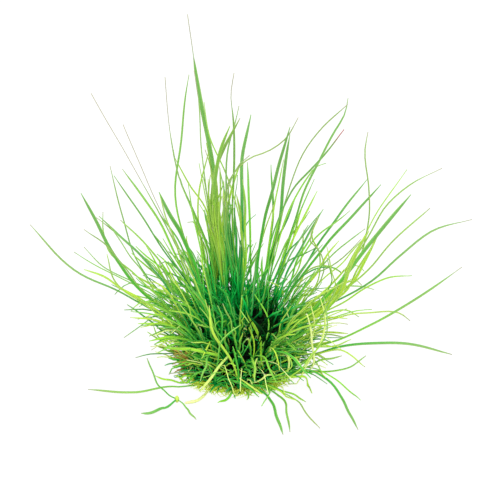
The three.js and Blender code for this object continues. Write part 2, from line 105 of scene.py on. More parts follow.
def side_radius(bearing, height):
    """The ball's radius: full at the top, less by the taper at the bottom, times the lumps."""
    top = top_height(BALL_RADIUS * math.sin(bearing))
    return (BALL_RADIUS - BALL_TAPER * (1 - height / top)) * lumps(bearing)


def ring_of(name):
    """The ring that a shoot stands in. The daughter stands in none, and gets the word shoot."""
    return name.split("_")[1]


def crown_of(name):
    """The middle of a shoot's crown: on its ring, or just above the lowest point of the daughter."""
    if name == "daughter_shoot":
        points, _ = merged(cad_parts[name])
        return points[points[:, 2].argmin()] + [0, 0, CROWN_RADIUS]
    ring = ring_of(name)
    bearing = 2 * math.pi * (int(name[-2:]) - 1) / CROWNS[ring]
    radius = BALL_RADIUS * (OUTER_SHARE if ring == "outer" else INNER_SHARE)
    height = top_height(radius * math.sin(bearing)) + CROWN_RADIUS + GAP
    if ring == "skirt":
        height = SKIRT_HEIGHT
        radius = side_radius(bearing, height) + CROWN_RADIUS + GAP
    return round_ball(radius, bearing, height)


SHOOTS = sorted(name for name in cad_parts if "shoot" in name)
CROWN = {name: crown_of(name) for name in SHOOTS}
print("ball radius", BALL_RADIUS, "height", BALL_HEIGHT, "slope", BALL_SLOPE, "shoots", len(SHOOTS))

# %% [markdown]
# The photograph was taken from the front, from a little above, through a long lens.
# The camera looks at a point above the ball and a little to its right, and one pixel covers
# 0.4 mm at the plant. The same numbers turn a place on the plant into a pixel, so that single
# leaves can be picked out.

# %% The photograph's view
ELEVATION = math.radians(24)
DISTANCE = 800 * MM
MIDDLE = np.array([4.4, 4, 0]) * MM
AIM_HEIGHT = 44.8 * MM
PIXEL = 0.4 * MM
MIDDLE_PIXEL = 250
TO_CAMERA = np.array([0, -math.cos(ELEVATION), math.sin(ELEVATION)])
VIEW_UP = np.array([0, math.sin(ELEVATION), math.cos(ELEVATION)])


def pixel_of(points):
    """Where points show in the photograph: their offset from the aim, over their distance."""
    points = points - MIDDLE
    nearer = DISTANCE / (DISTANCE - points @ TO_CAMERA)
    across = points[..., 0] * nearer / PIXEL
    up = (points @ VIEW_UP - AIM_HEIGHT) * nearer / PIXEL
    return np.stack([MIDDLE_PIXEL + across, MIDDLE_PIXEL - up], axis=-1)


print("the top of the ball shows at pixel", pixel_of(np.array([0, 0, BALL_HEIGHT])).round())

# %% [markdown]
# A faceted leaf is a chain of three-cornered sections that ends in a point.
# Its point is the only place where the faces around it open by less than a radian in all.
# From there each section is found as the three corners that touch the section above,
# so its middle, its width and the way it faces are all read off the solid.

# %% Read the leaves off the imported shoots
SHARP = 1.0
WIDEST_SECTION = 3 * MM
TINY = 1e-12


def opening_angles(points, faces):
    """The sum, at each point, of the angles of the faces that meet there."""
    total = np.zeros(len(points))
    for k in range(3):
        here, there, other = (points[faces[:, (k + j) % 3]] for j in range(3))
        one, two = there - here, other - here
        lengths = np.linalg.norm(one, axis=1) * np.linalg.norm(two, axis=1)
        cosines = np.clip((one * two).sum(1) / np.maximum(lengths, TINY), -1, 1)
        np.add.at(total, faces[:, k], np.arccos(cosines))
    return total


def touching(faces, count):
    """For each point, the set of the points that share an edge with it."""
    near = [set() for _ in range(count)]
    for a, b in np.concatenate([faces[:, [0, 1]], faces[:, [1, 2]], faces[:, [2, 0]]]).tolist():
        near[a].add(b)
        near[b].add(a)
    return near


def sections_below(tip, near, points):
    """The sections of one leaf from its tip down, until it meets its crown or another leaf."""
    passed = {tip}
    ring = near[tip]
    sections = []
    while len(ring) == 3:
        corners = points[sorted(ring)]
        if np.ptp(corners, axis=0).max() > WIDEST_SECTION:
            break
        sections.append(corners)
        passed |= ring
        ring = set().union(*(near[corner] for corner in ring)) - passed
    return sections


def unit(vectors):
    """The same directions with a length of one."""
    return vectors / np.maximum(np.linalg.norm(vectors, axis=-1, keepdims=True), TINY)


def leaf_from(sections, tip, crown):
    """A leaf as its middle line from the crown to the tip, its sides and its greatest width."""
    edges = [np.roll(corners, -1, axis=0) - corners for corners in sections]
    widths = [np.linalg.norm(edge, axis=1).max() for edge in edges]
    widest = int(np.argmax(widths))
    side = unit(edges[widest][np.linalg.norm(edges[widest], axis=1).argmax()])
    sides = []
    for edge in edges:
        match = edge @ side / np.linalg.norm(edge, axis=1)
        best = int(np.abs(match).argmax())
        sides.append(unit(edge[best]) * np.sign(match[best]))
    middles = [corners.mean(axis=0) for corners in sections]
    line = np.array([crown, *middles[::-1], tip])
    sides = np.array([sides[-1], *sides[::-1], sides[0]])
    return {"line": line, "sides": sides, "solid_width": max(widths)}


def leaves_of(name):
    """All the leaves of one shoot, with their middle lines in metres."""
    points, faces = merged(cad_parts[name])
    near = touching(faces, len(points))
    angles = opening_angles(points, faces)
    away = np.linalg.norm(points - CROWN[name], axis=1) > 3 * CROWN_RADIUS
    found = []
    for tip in np.flatnonzero((angles < SHARP) & away):
        sections = sections_below(int(tip), near, points)
        if sections:
            found.append(leaf_from(sections, points[tip], CROWN[name]))
    return found


LEAVES = {name: leaves_of(name) for name in SHOOTS}
all_leaves = [leaf for leaves in LEAVES.values() for leaf in leaves]
print("leaves read off the solids:", len(all_leaves))

# %% [markdown]
# A smooth leaf needs many more sections than the faceted one.
# A curve through the same middles is worked out with cubic pieces: each piece starts and ends
# in the direction of the line between its neighbours, so it bends without a kink.

# %% Draw a smooth line through the sections
STATIONS = 26
LOWEST = 0.6 * MM
LEAF_WANDER = 0.9 * MM
SLOW_WAVE = ((2, 3.5), 0.7)
QUICK_WAVE = ((4, 7), 0.3)
rng = np.random.default_rng(7)


def smooth(line, values, count):
    """Values along a line at equal steps: cubic pieces, whose slopes come from the neighbours."""
    lengths = np.linalg.norm(np.diff(line, axis=0), axis=1)
    knots = np.concatenate([[0], np.cumsum(np.maximum(lengths, TINY))])
    slopes = np.gradient(values, knots, axis=0)
    at = np.linspace(0, knots[-1], count)
    piece = np.clip(np.searchsorted(knots, at, side="right") - 1, 0, len(knots) - 2)
    span = (knots[piece + 1] - knots[piece])[:, None]
    t = (at - knots[piece])[:, None] / span
    start = (1 + 2 * t) * (1 - t) ** 2 * values[piece] + t * (1 - t) ** 2 * span * slopes[piece]
    end = t**2 * (3 - 2 * t) * values[piece + 1] + t**2 * (t - 1) * span * slopes[piece + 1]
    return start + end


def wandering(path, most):
    """The path with two waves of so many half turns across it, which die out at both of its ends."""
    t = np.linspace(0, 1, len(path))[:, None]
    halves = [(rng.uniform(*bounds), share) for bounds, share in (SLOW_WAVE, QUICK_WAVE)]
    waves = sum(
        unit(rng.normal(size=3)) * np.sin(math.pi * (count * t + rng.uniform(0, 2))) * share
        for count, share in halves
    )
    moved = path + waves * most * np.sin(math.pi * t)
    moved[:, 2] = np.maximum(moved[:, 2], LOWEST)
    return moved


def length_of(path):
    """The length of a line: the sum of its steps."""
    return np.linalg.norm(np.diff(path, axis=0), axis=1).sum()


for leaf in all_leaves:
    leaf["path"] = wandering(smooth(leaf["line"], leaf["line"], STATIONS), LEAF_WANDER)
    leaf["side"] = unit(smooth(leaf["line"], leaf["sides"], STATIONS))
print("the longest leaf is", round(max(length_of(leaf["path"]) for leaf in all_leaves) / MM), "mm")

# %% [markdown]
# The leaves differ in colour. Most are a fresh mid green, the youngest are yellow-green,
# some old ones are a dark blue-green, and the thinnest have dried to olive.
# Each leaf gets a tint from blue-green (0) to cream (1), and a dryness from 0 to 1.
# The end of some long leaves has withered to a thread, over a share of their length.
# These three are listed for the leaves that stand out in the view,
# and drawn from a seeded generator for the others.
# The broad ones among them turn their flat side to the view, and all other leaves are slimmer.
# The upper half of the tallest leaf bows to the left.

# %% Give each leaf its tint
BROAD_LEAVES = {
    "tallest leaf": ((188, 14), 0.42, 0.1, 0.15),
    "blue-green leaf in the middle": ((251, 116), 0.1, 0.0, 0),
    "slanting leaf of the middle": ((240, 118), 0.62, 0.3, 0),
    "olive leaf of the middle": ((230, 126), 0.66, 0.05, 0),
    "dark leaf right of the middle": ((290, 127), 0.28, 0.05, 0),
    "its twin": ((290, 135), 0.2, 0.05, 0),
    "broad leaf of the right fan": ((411, 196), 0.35, 0.05, 0),
    "dark leaf inside the left fan": ((159, 192), 0.3, 0.0, 0),
    "broad leaf of the left fan": ((80, 192), 0.3, 0.05, 0),
    "front leaf of the bright bundle": ((370, 230), 0.82, 0.0, 0),
    "second leaf of the bright bundle": ((364, 235), 0.84, 0.0, 0),
    "third leaf of the bright bundle": ((378, 233), 0.78, 0.0, 0),
    "pale leaf that crosses in front": ((209, 305), 0.82, 0.15, 0),
    "flat bright leaf in front": ((165, 348), 0.62, 0.1, 0),
}
SLIM_LEAVES = {
    "thin leaf left of the tallest leaf": ((165, 76), 0.4, 0.3, 0.22),
    "leaf under the tip of the tallest leaf": ((189, 74), 0.5, 0.2, 0),
    "its neighbour on the right": ((194, 71), 0.5, 0.2, 0.1),
    "tall leaf behind the middle": ((235, 73), 0.5, 0.3, 0.14),
    "leaf that arches to the right": ((298, 118), 0.6, 0.8, 0),
    "high leaf on the right": ((349, 99), 0.36, 0.15, 0),
    "olive leaf beside it": ((348, 105), 0.5, 0.6, 0),
    "leaf with the red tip": ((344, 129), 0.3, 0.1, 0),
    "lone upright leaf on the right": ((369, 132), 0.62, 0.4, 0),
    "blunt dark leaf": ((367, 180), 0.14, 0.0, 0),
    "its longer neighbour": ((380, 184), 0.3, 0.0, 0),
    "pale leaf with a long tip": ((442, 168), 0.6, 0.4, 0.05),
    "yellow-green leaf of the right fan": ((430, 208), 0.66, 0.3, 0),
    "lowest leaf of the right fan": ((473, 219), 0.16, 0.3, 0.04),
    "leaf that reaches furthest right": ((462, 266), 0.45, 0.3, 0.04),
    "flat leaf on the right": ((452, 353), 0.2, 0.35, 0),
    "leaf at the bottom right": ((357, 426), 0.22, 0.3, 0),
    "flat leaf on the left": ((88, 390), 0.4, 0.6, 0),
    "leaf that reaches furthest left": ((30, 226), 0.1, 0.4, 0),
    "thin leaf at the upper left": ((91, 93), 0.4, 0.7, 0.4),
    "short leaf beside it": ((123, 125), 0.4, 0.8, 0.5),
    "left leaf of a pair": ((110, 166), 0.2, 0.4, 0),
    "dark leaf at the upper left": ((114, 176), 0.08, 0.0, 0),
    "olive leaf of the left fan": ((85, 229), 0.5, 0.6, 0),
    "fourth leaf of the bright bundle": ((375, 243), 0.8, 0.0, 0),
    "bright leaf before the hollow": ((242, 295), 0.72, 0.0, 0),
    "light leaf across the hollow": ((252, 291), 0.5, 0.0, 0),
    "bright edge of the middle bundle": ((243, 179), 0.64, 0.1, 0),
    "pale leaf low in front": ((200, 391), 0.94, 0.1, 0),
    "first leaf cut by the photograph": ((284, 434), 0.26, 0.3, 0),
    "second leaf cut by the photograph": ((291, 431), 0.4, 0.4, 0),
    "third leaf cut by the photograph": ((320, 428), 0.5, 0.9, 0),
    "left leaf of the young shoot": ((143, 412), 0.2, 0.5, 0),
    "its leaf that points up": ((146, 360), 0.3, 0.4, 0),
    "its leaf that points down": ((195, 415), 0.36, 0.6, 0),
}
SLIM = 0.76
BROAD = 0.85
TALLEST_BOW = 1.8 * MM
BOW_FROM = 0.45
USUAL_TINT = 0.57
RIGHT_MORE = 0.1
RIGHT_REACH = 60 * MM
LOW_MORE = 0.12
LOW_TIP = 15 * MM
SHOWN_SHADE = 0.3
LEAF_TINT = (0.2, 0.82)
LEAF_DRY = (0.05, 0.25, 0.8)


def drawn(usual, spread, most):
    """A number drawn near its usual value, from nought to its most."""
    return float(np.clip(rng.normal(usual, spread), 0, most))


def side_in_view(path):
    """The sides of a leaf that turns its flat face to the view: across its line and the view."""
    return unit(np.cross(np.gradient(path, axis=0), TO_CAMERA))


def usual_tint(path):
    """The clump is yellower on its right side than on its left, and yellower near the ground."""
    return USUAL_TINT + RIGHT_MORE * path[-1][0] / RIGHT_REACH + LOW_MORE * (path[-1][2] < LOW_TIP)


# Each leaf carries a share of painted shade: full for most, less for the listed ones.
for leaf in all_leaves:
    leaf.update(
        width=leaf["solid_width"] * SLIM,
        tint=drawn(usual_tint(leaf["path"]), *LEAF_TINT),
        dry=drawn(*LEAF_DRY),
        shade=1.0,
    )
tip_pixels = pixel_of(np.array([leaf["path"][-1] for leaf in all_leaves]))
for shown, (pixel, tint, dry, thread) in {**SLIM_LEAVES, **BROAD_LEAVES}.items():
    leaf = all_leaves[int(np.linalg.norm(tip_pixels - pixel, axis=1).argmin())]
    red = float(shown == "leaf with the red tip")
    leaf.update(tint=tint, dry=dry, thread=thread, red=red, shade=SHOWN_SHADE, shown=shown)
    if shown in BROAD_LEAVES:
        leaf["width"] = leaf["solid_width"] * BROAD
        leaf["side"] = side_in_view(leaf["path"])
    if shown == "tallest leaf":
        bowed = np.clip((np.linspace(0, 1, STATIONS) - BOW_FROM) / (1 - BOW_FROM), 0, 1)
        leaf["path"][:, 0] -= TALLEST_BOW * np.sin(math.pi * bowed)
print("tints set by hand:", len(BROAD_LEAVES) + len(SLIM_LEAVES))

# %% [markdown]
# Between the leaves that can be told apart grow many finer ones, too small for the solids.
# There are more of them at the back, where the tall bundle stands, than on the other sides.
# A fine leaf is a mix of two neighbours: it starts at one crown and runs between both leaves,
# and it stops short of their tips, so it stays in the room that the solids already span.
# Right of the middle and in front the clump is open, and the dark inside of it shows.
# These openings are circles in the view. Each has the share of the fine leaves that it lacks,
# and a back rim: how far behind the ball's middle the leaves that stay begin.
# The larger leaves that cross the black hollow get a dark tint and painted shade, nearly black low down,
# apart from those listed.
# Patches are circles too, in which most leaves have one tint: the tall bundle is blue-green
# at its foot, which is painted shade, and yellow-green higher up on both of its sides.

# %% Add fine leaves between the others
FINE_PER_SHOOT = {"outer": 3, "inner": 3, "skirt": 3, "shoot": 0}
FINE_BEHIND = 30
BEHIND = math.radians(112)
BEHIND_SPREAD = math.radians(18)
FINE_STATIONS = 14
FRONT = 14 * MM
ALL_DEPTHS = 1
LOW_LEAF = 38 * MM
# Painted shade of the black hollow: how much the short leaves that cross it get, how much the tall ones
# get, and their dark tint.
LOW_HOLLOW_SHADE = 1.8
TALL_SHADE = 3.0
HOLLOW_SHADE_TINT = 0.05
PATCH_PULL = 0.75
FINE_MIX = (0.1, 0.6)
FINE_BOW = (0.5 * MM, 4 * MM)
FINE_BOW_TURNS = (0.6, 1.6)
FINE_KEEP = (0.25, 0.75)
FEWEST_KEPT = 7
FINE_NOD = (2 * MM, 14 * MM)
NODDING_SHARE = 0.4
FINE_WANDER = (0.5 * MM, 1.8 * MM)
FINE_WIDTH = (0.4 * MM, 0.8 * MM)
FINE_SHADES = (0.2, 0.7, 1.0)
FINE_TINT = (0.24, 0.88)
FINE_DRY = (-0.05, 0.28, 0.9)
NUDGE = 1e-6
OPENINGS = {
    "black hollow": ((265, 319), 15, 0.98, FRONT),
    "below the hollow": ((256, 346), 12, 0.85, FRONT),
    "left of the middle": ((235, 330), 7, 0.6, FRONT),
    "front of the middle": ((236, 350), 12, 0.75, FRONT),
    "left front": ((226, 366), 8, 0.6, FRONT),
    "right of the bundle": ((257, 228), 9, 0.9, ALL_DEPTHS),
    "behind the hollow": ((284, 262), 16, 0.7, ALL_DEPTHS),
    "behind the right": ((320, 268), 13, 0.65, ALL_DEPTHS),
}
PATCHES = {
    # The blue-green at the bundle's foot is painted shade.
    "blue-green foot of the bundle": ((234, 272), 8, 0.02),
    "bright right edge of the bundle": ((245, 235), 5, 0.78),
    "bright left side of the bundle": ((219, 240), 9, 0.76),
}


def crosses(path, pixel, radius):
    """Whether a leaf shows inside a circle in the view."""
    return len(path) > 0 and np.linalg.norm(pixel_of(path) - pixel, axis=1).min() < radius


def in_the_open(path):
    """Whether a leaf is left out because it would cross an opening, in front of its back rim."""
    return any(
        crosses(path[path[:, 1] < rim], pixel, radius) and rng.uniform() < share
        for pixel, radius, share, rim in OPENINGS.values()
    )


def patch_tint(path, tint):
    """A leaf's tint, drawn towards that of the patch of one colour that it crosses, if any."""
    for pixel, radius, patch in PATCHES.values():
        if crosses(path, pixel, radius):
            return (1 - PATCH_PULL) * tint + PATCH_PULL * patch
    return tint


def neighbours(name):
    """The leaves of a shoot and of the next shoots of its ring on both sides."""
    if name == "daughter_shoot":
        return LEAVES[name]
    around = [(int(name[-2:]) - 1 + step) % CROWNS[ring_of(name)] + 1 for step in (-1, 0, 1)]
    return [leaf for other in around for leaf in LEAVES[f"{name[:-2]}{other:02d}"]]


def fine_leaf(name):
    """A leaf from this crown, part way between one of its own leaves and one of a neighbour's."""
    own = LEAVES[name][rng.integers(len(LEAVES[name]))]
    others = neighbours(name)
    other = others[rng.integers(len(others))]
    share = rng.uniform(*FINE_MIX)
    along = np.linspace(0, 1, STATIONS)[:, None]
    path = own["path"] * (1 - share * along) + other["path"] * share * along
    bow = unit(rng.normal(size=3)) * rng.uniform(*FINE_BOW)
    path = path + bow * np.sin(math.pi * along * rng.uniform(*FINE_BOW_TURNS)) * along
    keep = max(int(STATIONS * rng.uniform(*FINE_KEEP)), FEWEST_KEPT)
    nod = rng.uniform(*FINE_NOD) * (rng.uniform() < NODDING_SHARE)
    path[:, 2] -= nod * np.clip(along[:, 0] / along[keep - 1] - 0.5, 0, 1) ** 2 * 4
    path = wandering(path, rng.uniform(*FINE_WANDER))
    side = unit(own["side"] * (1 - share) + other["side"] * share + NUDGE)
    return {
        "path": smooth(path[:keep], path[:keep], FINE_STATIONS),
        "side": unit(smooth(path[:keep], side[:keep], FINE_STATIONS)),
        "width": rng.uniform(*FINE_WIDTH),
        "tint": patch_tint(path[:keep], drawn(usual_tint(path), *FINE_TINT)),
        "dry": drawn(*FINE_DRY),
        # Its share of painted shade.
        "shade": rng.choice(FINE_SHADES),
    }


def grown(make, name, count):
    """A number of leaves of one shoot, without those that would close an opening."""
    leaves = [make(name) for _ in range(count)]
    return [leaf for leaf in leaves if not in_the_open(leaf["path"])]


def fine_count(name):
    """How many fine leaves a shoot has: its ring's number, and more behind the middle."""
    ring = ring_of(name)
    off = (bearing_of(CROWN[name]) - BEHIND) / BEHIND_SPREAD
    more = FINE_BEHIND * math.exp(-(off**2)) * (ring != "skirt")
    return FINE_PER_SHOOT[ring] + round(more)


hollow_pixel, hollow_radius, _, _ = OPENINGS["black hollow"]
for leaf in all_leaves:
    if "shown" not in leaf:
        leaf["tint"] = patch_tint(leaf["path"], leaf["tint"])
        # Leaves that cross the hollow in front get a dark tint and painted shade: short ones are painted
        # nearly black, tall ones are shaded near the ball.
        if crosses(leaf["path"][leaf["path"][:, 1] < FRONT], hollow_pixel, hollow_radius):
            leaf["tint"] = HOLLOW_SHADE_TINT
            if np.ptp(leaf["path"][:, 2]) < LOW_LEAF:
                leaf["gloom"] = LOW_HOLLOW_SHADE
            else:
                leaf["shade"] = TALL_SHADE
FINE_LEAVES = {name: grown(fine_leaf, name, fine_count(name)) for name in SHOOTS}
print("fine leaves:", sum(len(leaves) for leaves in FINE_LEAVES.values()))

# %% [markdown]
# Some thin leaves stand out in the photograph too: the cream strands at the right front,
# the arches at the back right and the curved leaves before the hollow.
# Each is given by the shoot that it grows from, by how far its foot and its tip are behind
# the ball's middle, by its width, tint and dryness, and by the pixels that it passes
# from its foot to its tip. A pixel and a depth make one place on the plant.

# %% Add the listed thin leaves
SHOWN_STRANDS = {
    "cream strand before the bundle": ("shoot_skirt_15", (-16, -26), 0.8, 0.98, 0.0, [
        (290, 374), (305, 373), (313, 366), (314, 357), (312, 345), (311, 330), (307, 314),
    ]),
    "long cream strand beside it": ("shoot_skirt_15", (-20, -22), 0.75, 0.95, 0.0, [
        (288, 384), (296, 384), (303, 372), (311, 358), (319, 346), (324, 332), (325, 317), (320, 297),
    ]),
    "short cream strand between them": ("shoot_skirt_16", (-12, -22), 0.65, 0.96, 0.0, [
        (300, 353), (309, 343), (314, 331), (314, 319), (311, 306),
    ]),
    "cream curl below them": ("shoot_skirt_15", (-20, -25), 0.8, 0.96, 0.0, [
        (273, 374), (284, 376), (288, 370), (289, 361), (287, 353),
    ]),
    "pale arch low in front": ("shoot_skirt_13", (-23, -25), 0.75, 0.95, 0.0, [
        (250, 383), (256, 382), (262, 379), (267, 375), (272, 375),
    ]),
    "pale leaf that slants down in front": ("shoot_skirt_13", (-23, -29), 0.7, 0.92, 0.0, [
        (232, 374), (239, 378), (245, 382), (252, 387), (262, 394),
    ]),
    "curved leaf before the hollow": ("shoot_skirt_13", (-21, -17), 1.2, 0.6, 0.0, [
        (264, 370), (261, 358), (261, 346), (259, 336), (254, 326), (249, 316), (246, 306),
    ]),
    "thin leaf left of it": ("shoot_skirt_13", (-22, -20), 0.65, 0.72, 0.0, [
        (252, 362), (254, 352), (254, 342), (251, 332), (248, 325),
    ]),
    "dark arch at the back right": ("shoot_outer_03", (8, 2), 0.6, 0.15, 0.1, [
        (277, 313), (288, 294), (301, 277), (309, 272), (318, 268), (328, 267), (335, 268), (341, 272),
    ]),
    "leaf that crosses its end": ("shoot_outer_01", (0, -2), 0.5, 0.35, 0.4, [
        (300, 322), (315, 306), (328, 290), (332, 281), (331, 273), (329, 266), (327, 258),
    ]),
    "olive leaf under the arch": ("shoot_outer_03", (8, -6), 0.5, 0.45, 0.7, [
        (279, 311), (296, 286), (313, 274), (328, 268), (340, 260), (351, 250), (361, 239),
    ]),
    "arch behind the hollow": ("shoot_outer_04", (12, 6), 0.6, 0.2, 0.2, [
        (273, 305), (277, 280), (284, 266), (291, 259), (299, 256), (308, 252), (317, 247),
    ]),
    "dry leaf that turns back": ("shoot_outer_02", (6, 2), 0.5, 0.5, 0.9, [
        (290, 312), (316, 288), (324, 270), (322, 256), (316, 247), (310, 241), (313, 229), (318, 217),
    ]),
    "arch at the hollow's rim": ("shoot_outer_02", (4, 0), 0.5, 0.66, 0.2, [
        (284, 308), (284, 298), (281, 289), (275, 284), (268, 282),
    ]),
}


def place_of(pixel, depth):
    """The place at a depth that a pixel shows: eye + (aim - eye) x share of the way."""
    eye = MIDDLE + VIEW_UP * AIM_HEIGHT + TO_CAMERA * DISTANCE
    across, down = (np.array(pixel) - MIDDLE_PIXEL) * PIXEL
    aim = MIDDLE + VIEW_UP * (AIM_HEIGHT - down) + np.array([across, 0, 0])
    return eye + (aim - eye) * (depth - eye[1]) / (aim[1] - eye[1])


def strand(depths, width, tint, dry, pixels):
    """A thin leaf through the places that its pixels show, with its flat side to the view."""
    steps = np.linspace(*depths, len(pixels)) * MM
    line = np.array([place_of(pixel, depth) for pixel, depth in zip(pixels, steps)])
    line[:, 2] = np.maximum(line[:, 2], LOWEST)
    path = smooth(line, line, FINE_STATIONS)
    return {"path": path, "side": side_in_view(path), "width": width * MM, "tint": tint, "dry": dry}


for name, *looks in SHOWN_STRANDS.values():
    FINE_LEAVES[name].append(strand(*looks))
print("thin leaves set by hand:", len(SHOWN_STRANDS))

# %% [markdown]
# Under them stands a thicket of short leaves, which hides the crowns and most of the ball.
# On the ball's top they stand up in the middle and lean outwards towards the rim.
# Round its side they are shorter and hug the ball, with longer ones among them of a lighter tint and with
# little painted shade.
# A few are long, thin and weak, and bend over in an arch. Some of those in front are nearly white.
# Each kind has a range of leans in degrees or of sags, and a range of lengths.

# %% Add the short leaves of the thicket
SHORT_PER_SHOOT = {"outer": 28, "inner": 38, "skirt": 42, "shoot": 0}
RIM_MORE = 34
SHORT_STATIONS = 9
SPREAD = 2.4 * MM
SIDE_SPREAD = 0.16
SIDE_FROM = 0.08
BELOW_RIM = 1.5 * MM
INSIDE_RIM = 2 * MM
INNER_PLACES = (0.1, 1.1)
SIDE_SUNK = 0.6 * MM
TOP_SUNK = 0.8 * MM
TURN_SPREAD = 0.7
MIDDLE_LEAN = 4
RIM_LEAN = 32
LEAN_SPREAD = 14
USUAL_SAG = (0.0, 0.5)
SIDEWAYS = 0.3
OUT_DROOP = 0.2
SHORT_WANDER = (0.03, 0.09)
WEAK_SHARE = 0.07
WHITE_SHARE = 0.5
TALL_SHARE = 0.17
TALL_LEAF = ((0, 32), (12 * MM, 26 * MM))
HUGGING_LEAF = ((5, 80), (3 * MM, 8.5 * MM))
TOP_LENGTH = (6 * MM, 21 * MM)
WEAK_SIDE = ((10 * MM, 22 * MM), (0.2, 0.5))
WEAK_TOP = ((18 * MM, 34 * MM), (0.5, 0.75))
WEAK_WIDTH = (0.3 * MM, 0.5 * MM)
SHORT_WIDTH = (0.35 * MM, 0.8 * MM)
SHORT_SHADES = (0.6, 0.9, 1.2)
LIGHT_SHADE = 0.1
TALL_TINT = 0.66
LOW_TINT = 0.14
TOP_TINT = 0.32
SHORT_TINT = (0.18, 0.85)
WHITE_TINT = (0.9, 1)
SHORT_DRY = (-0.2, 0.3, 0.9)
BACK_FROM = 6 * MM
BACK_GROWTH = {"left": 1.5, "right": 0.55}
HOLLOW_RIM = 14 * MM


def short_foot(name):
    """A place near a shoot's crown on the ball's top or side, or for the inner ring, further in too."""
    if "skirt" in name:
        bearing = bearing_of(CROWN[name]) + rng.normal(0, SIDE_SPREAD)
        rim = top_height(BALL_RADIUS * math.sin(bearing)) - BELOW_RIM
        height = rng.uniform(SIDE_FROM, 1) * rim
        return round_ball(side_radius(bearing, height) - SIDE_SUNK, bearing, height)
    inwards = rng.uniform(*INNER_PLACES) if "inner" in name else 1
    x, y = CROWN[name][:2] * inwards + rng.normal(0, 1, 2) * SPREAD
    inside = min(1, (BALL_RADIUS - INSIDE_RIM) / math.hypot(x, y))
    return np.array([x * inside, y * inside, top_height(y * inside) - TOP_SUNK])


def short_leaf(name):
    """A short leaf: out along its bearing by the sine of its lean, up by the cosine, then a droop."""
    foot = short_foot(name)
    share = math.hypot(foot[0], foot[1]) / BALL_RADIUS
    bearing = bearing_of(foot) + rng.normal(0, TURN_SPREAD)
    low = "skirt" in name
    weak = rng.uniform() < WEAK_SHARE * (2 if foot[0] > 0 else 1)
    tall = low and rng.uniform() < TALL_SHARE
    if low:
        leans, lengths = TALL_LEAF if tall else HUGGING_LEAF
        lean = math.radians(rng.uniform(*leans))
        length = rng.uniform(*lengths)
    else:
        lean = math.radians(MIDDLE_LEAN + RIM_LEAN * share**2 + rng.normal(0, LEAN_SPREAD))
        growth = 1 if foot[1] < BACK_FROM else BACK_GROWTH["left" if foot[0] < 0 else "right"]
        length = rng.uniform(*TOP_LENGTH) * growth
    sag = rng.uniform(*USUAL_SAG)
    if weak:
        lengths, sags = WEAK_SIDE if low else WEAK_TOP
        length = rng.uniform(*lengths)
        sag = rng.uniform(*sags)
    t = np.linspace(0, 1, SHORT_STATIONS)[:, None]
    outward = round_ball(1, bearing, 0)
    sideways = np.array([-outward[1], outward[0], 0])
    upward = np.array([0, 0, math.cos(lean)])
    along = outward * math.sin(lean) + upward + sideways * rng.normal(0, SIDEWAYS)
    droop = outward * OUT_DROOP - np.array([0, 0, sag])
    path = wandering(foot + (along * t + droop * t**2) * length, rng.uniform(*SHORT_WANDER) * length)
    side = np.cross(outward, along) + rng.normal(0, SIDEWAYS, 3)
    white = weak and foot[1] < 0 and rng.uniform() < WHITE_SHARE
    usual = TALL_TINT if tall else LOW_TINT if low or weak else TOP_TINT
    tint = rng.uniform(*WHITE_TINT) if white else drawn(usual, *SHORT_TINT)
    return {
        "path": path,
        "side": np.tile(unit(side), (SHORT_STATIONS, 1)),
        "width": rng.uniform(*(WEAK_WIDTH if weak else SHORT_WIDTH)),
        "tint": tint,
        "dry": drawn(*SHORT_DRY),
        # Weak and tall leaves get little painted shade, the others more.
        "shade": LIGHT_SHADE if weak or tall else rng.choice(SHORT_SHADES),
    }


def short_count(name):
    """How many short leaves a shoot has: its ring's number, and more on the rim behind the hollow."""
    x, y = CROWN[name][:2]
    behind = "outer" in name and 0 < x < HOLLOW_RIM and y > 0
    return SHORT_PER_SHOOT[ring_of(name)] + RIM_MORE * behind


SHORT_LEAVES = {name: grown(short_leaf, name, short_count(name)) for name in SHOOTS}
print("short leaves:", sum(len(leaves) for leaves in SHORT_LEAVES.values()))

# %% [markdown]
# A leaf's section is a flat lens, a little folded along its middle like a shallow gutter.
# Two numbers describe any point of its skin: how far along the leaf it is, and how far round the lens.
# All the leaves of a shoot are worked out at once as one array: leaf, station, place round, x y z.
# The numbers that the colours need, such as along and across, are kept on the points.
# One of them is the painted shade: how deep in the clump's shade a point is, most near the ball's top and
# its axis.

# %% Make the skin of the leaves
ROUND = 6
THICKNESS = 0.5 * MM
FOLD = 0.12
FOOT_SHARE = 0.5
WIDEST_AT = 0.7
NARROWEST = 0.32 * MM
TAPER = 14
# How far out from the axis and how high above the ball's top the painted shade reaches, and how high the
# painted black of the hollow reaches.
INNER_REACH = 25 * MM
INNER_HEIGHT = 22 * MM
HOLLOW_SHADE_HEIGHT = 28 * MM
SEED_STEP = 97
TIP_FROM = 0.96
TIP_OVER = 0.04
THREAD_OVER = 0.08
RED_FROM = 0.91


def withered(t, thread, dry):
    """How far a leaf has withered at a place: over all its thread, or if it is dry, at its very tip."""
    tip = np.clip((t - TIP_FROM) / TIP_OVER, 0, 1) * np.clip(3 * dry, 0, 1)
    return np.where(thread > 0, np.clip((t - 1 + thread) / THREAD_OVER + 0.5, 0, 1), tip)


def width_share(t, thread):
    """A leaf's width over its greatest: a quarter sine, then a high power down to the tip or thread."""
    rise = FOOT_SHARE + (1 - FOOT_SHARE) * np.sin(math.pi / 2 * np.minimum(t / WIDEST_AT, 1))
    return rise * (1 - np.minimum(t / (1 - thread), 1) ** TAPER)


def given(leaves, key):
    """One number of each leaf, nought where it has none, laid out to spread over its points."""
    return np.array([leaf.get(key, 0.0) for leaf in leaves])[:, None, None]


def even_angles(count):
    """Equal angles round a full turn."""
    return np.arange(count) / count * 2 * math.pi


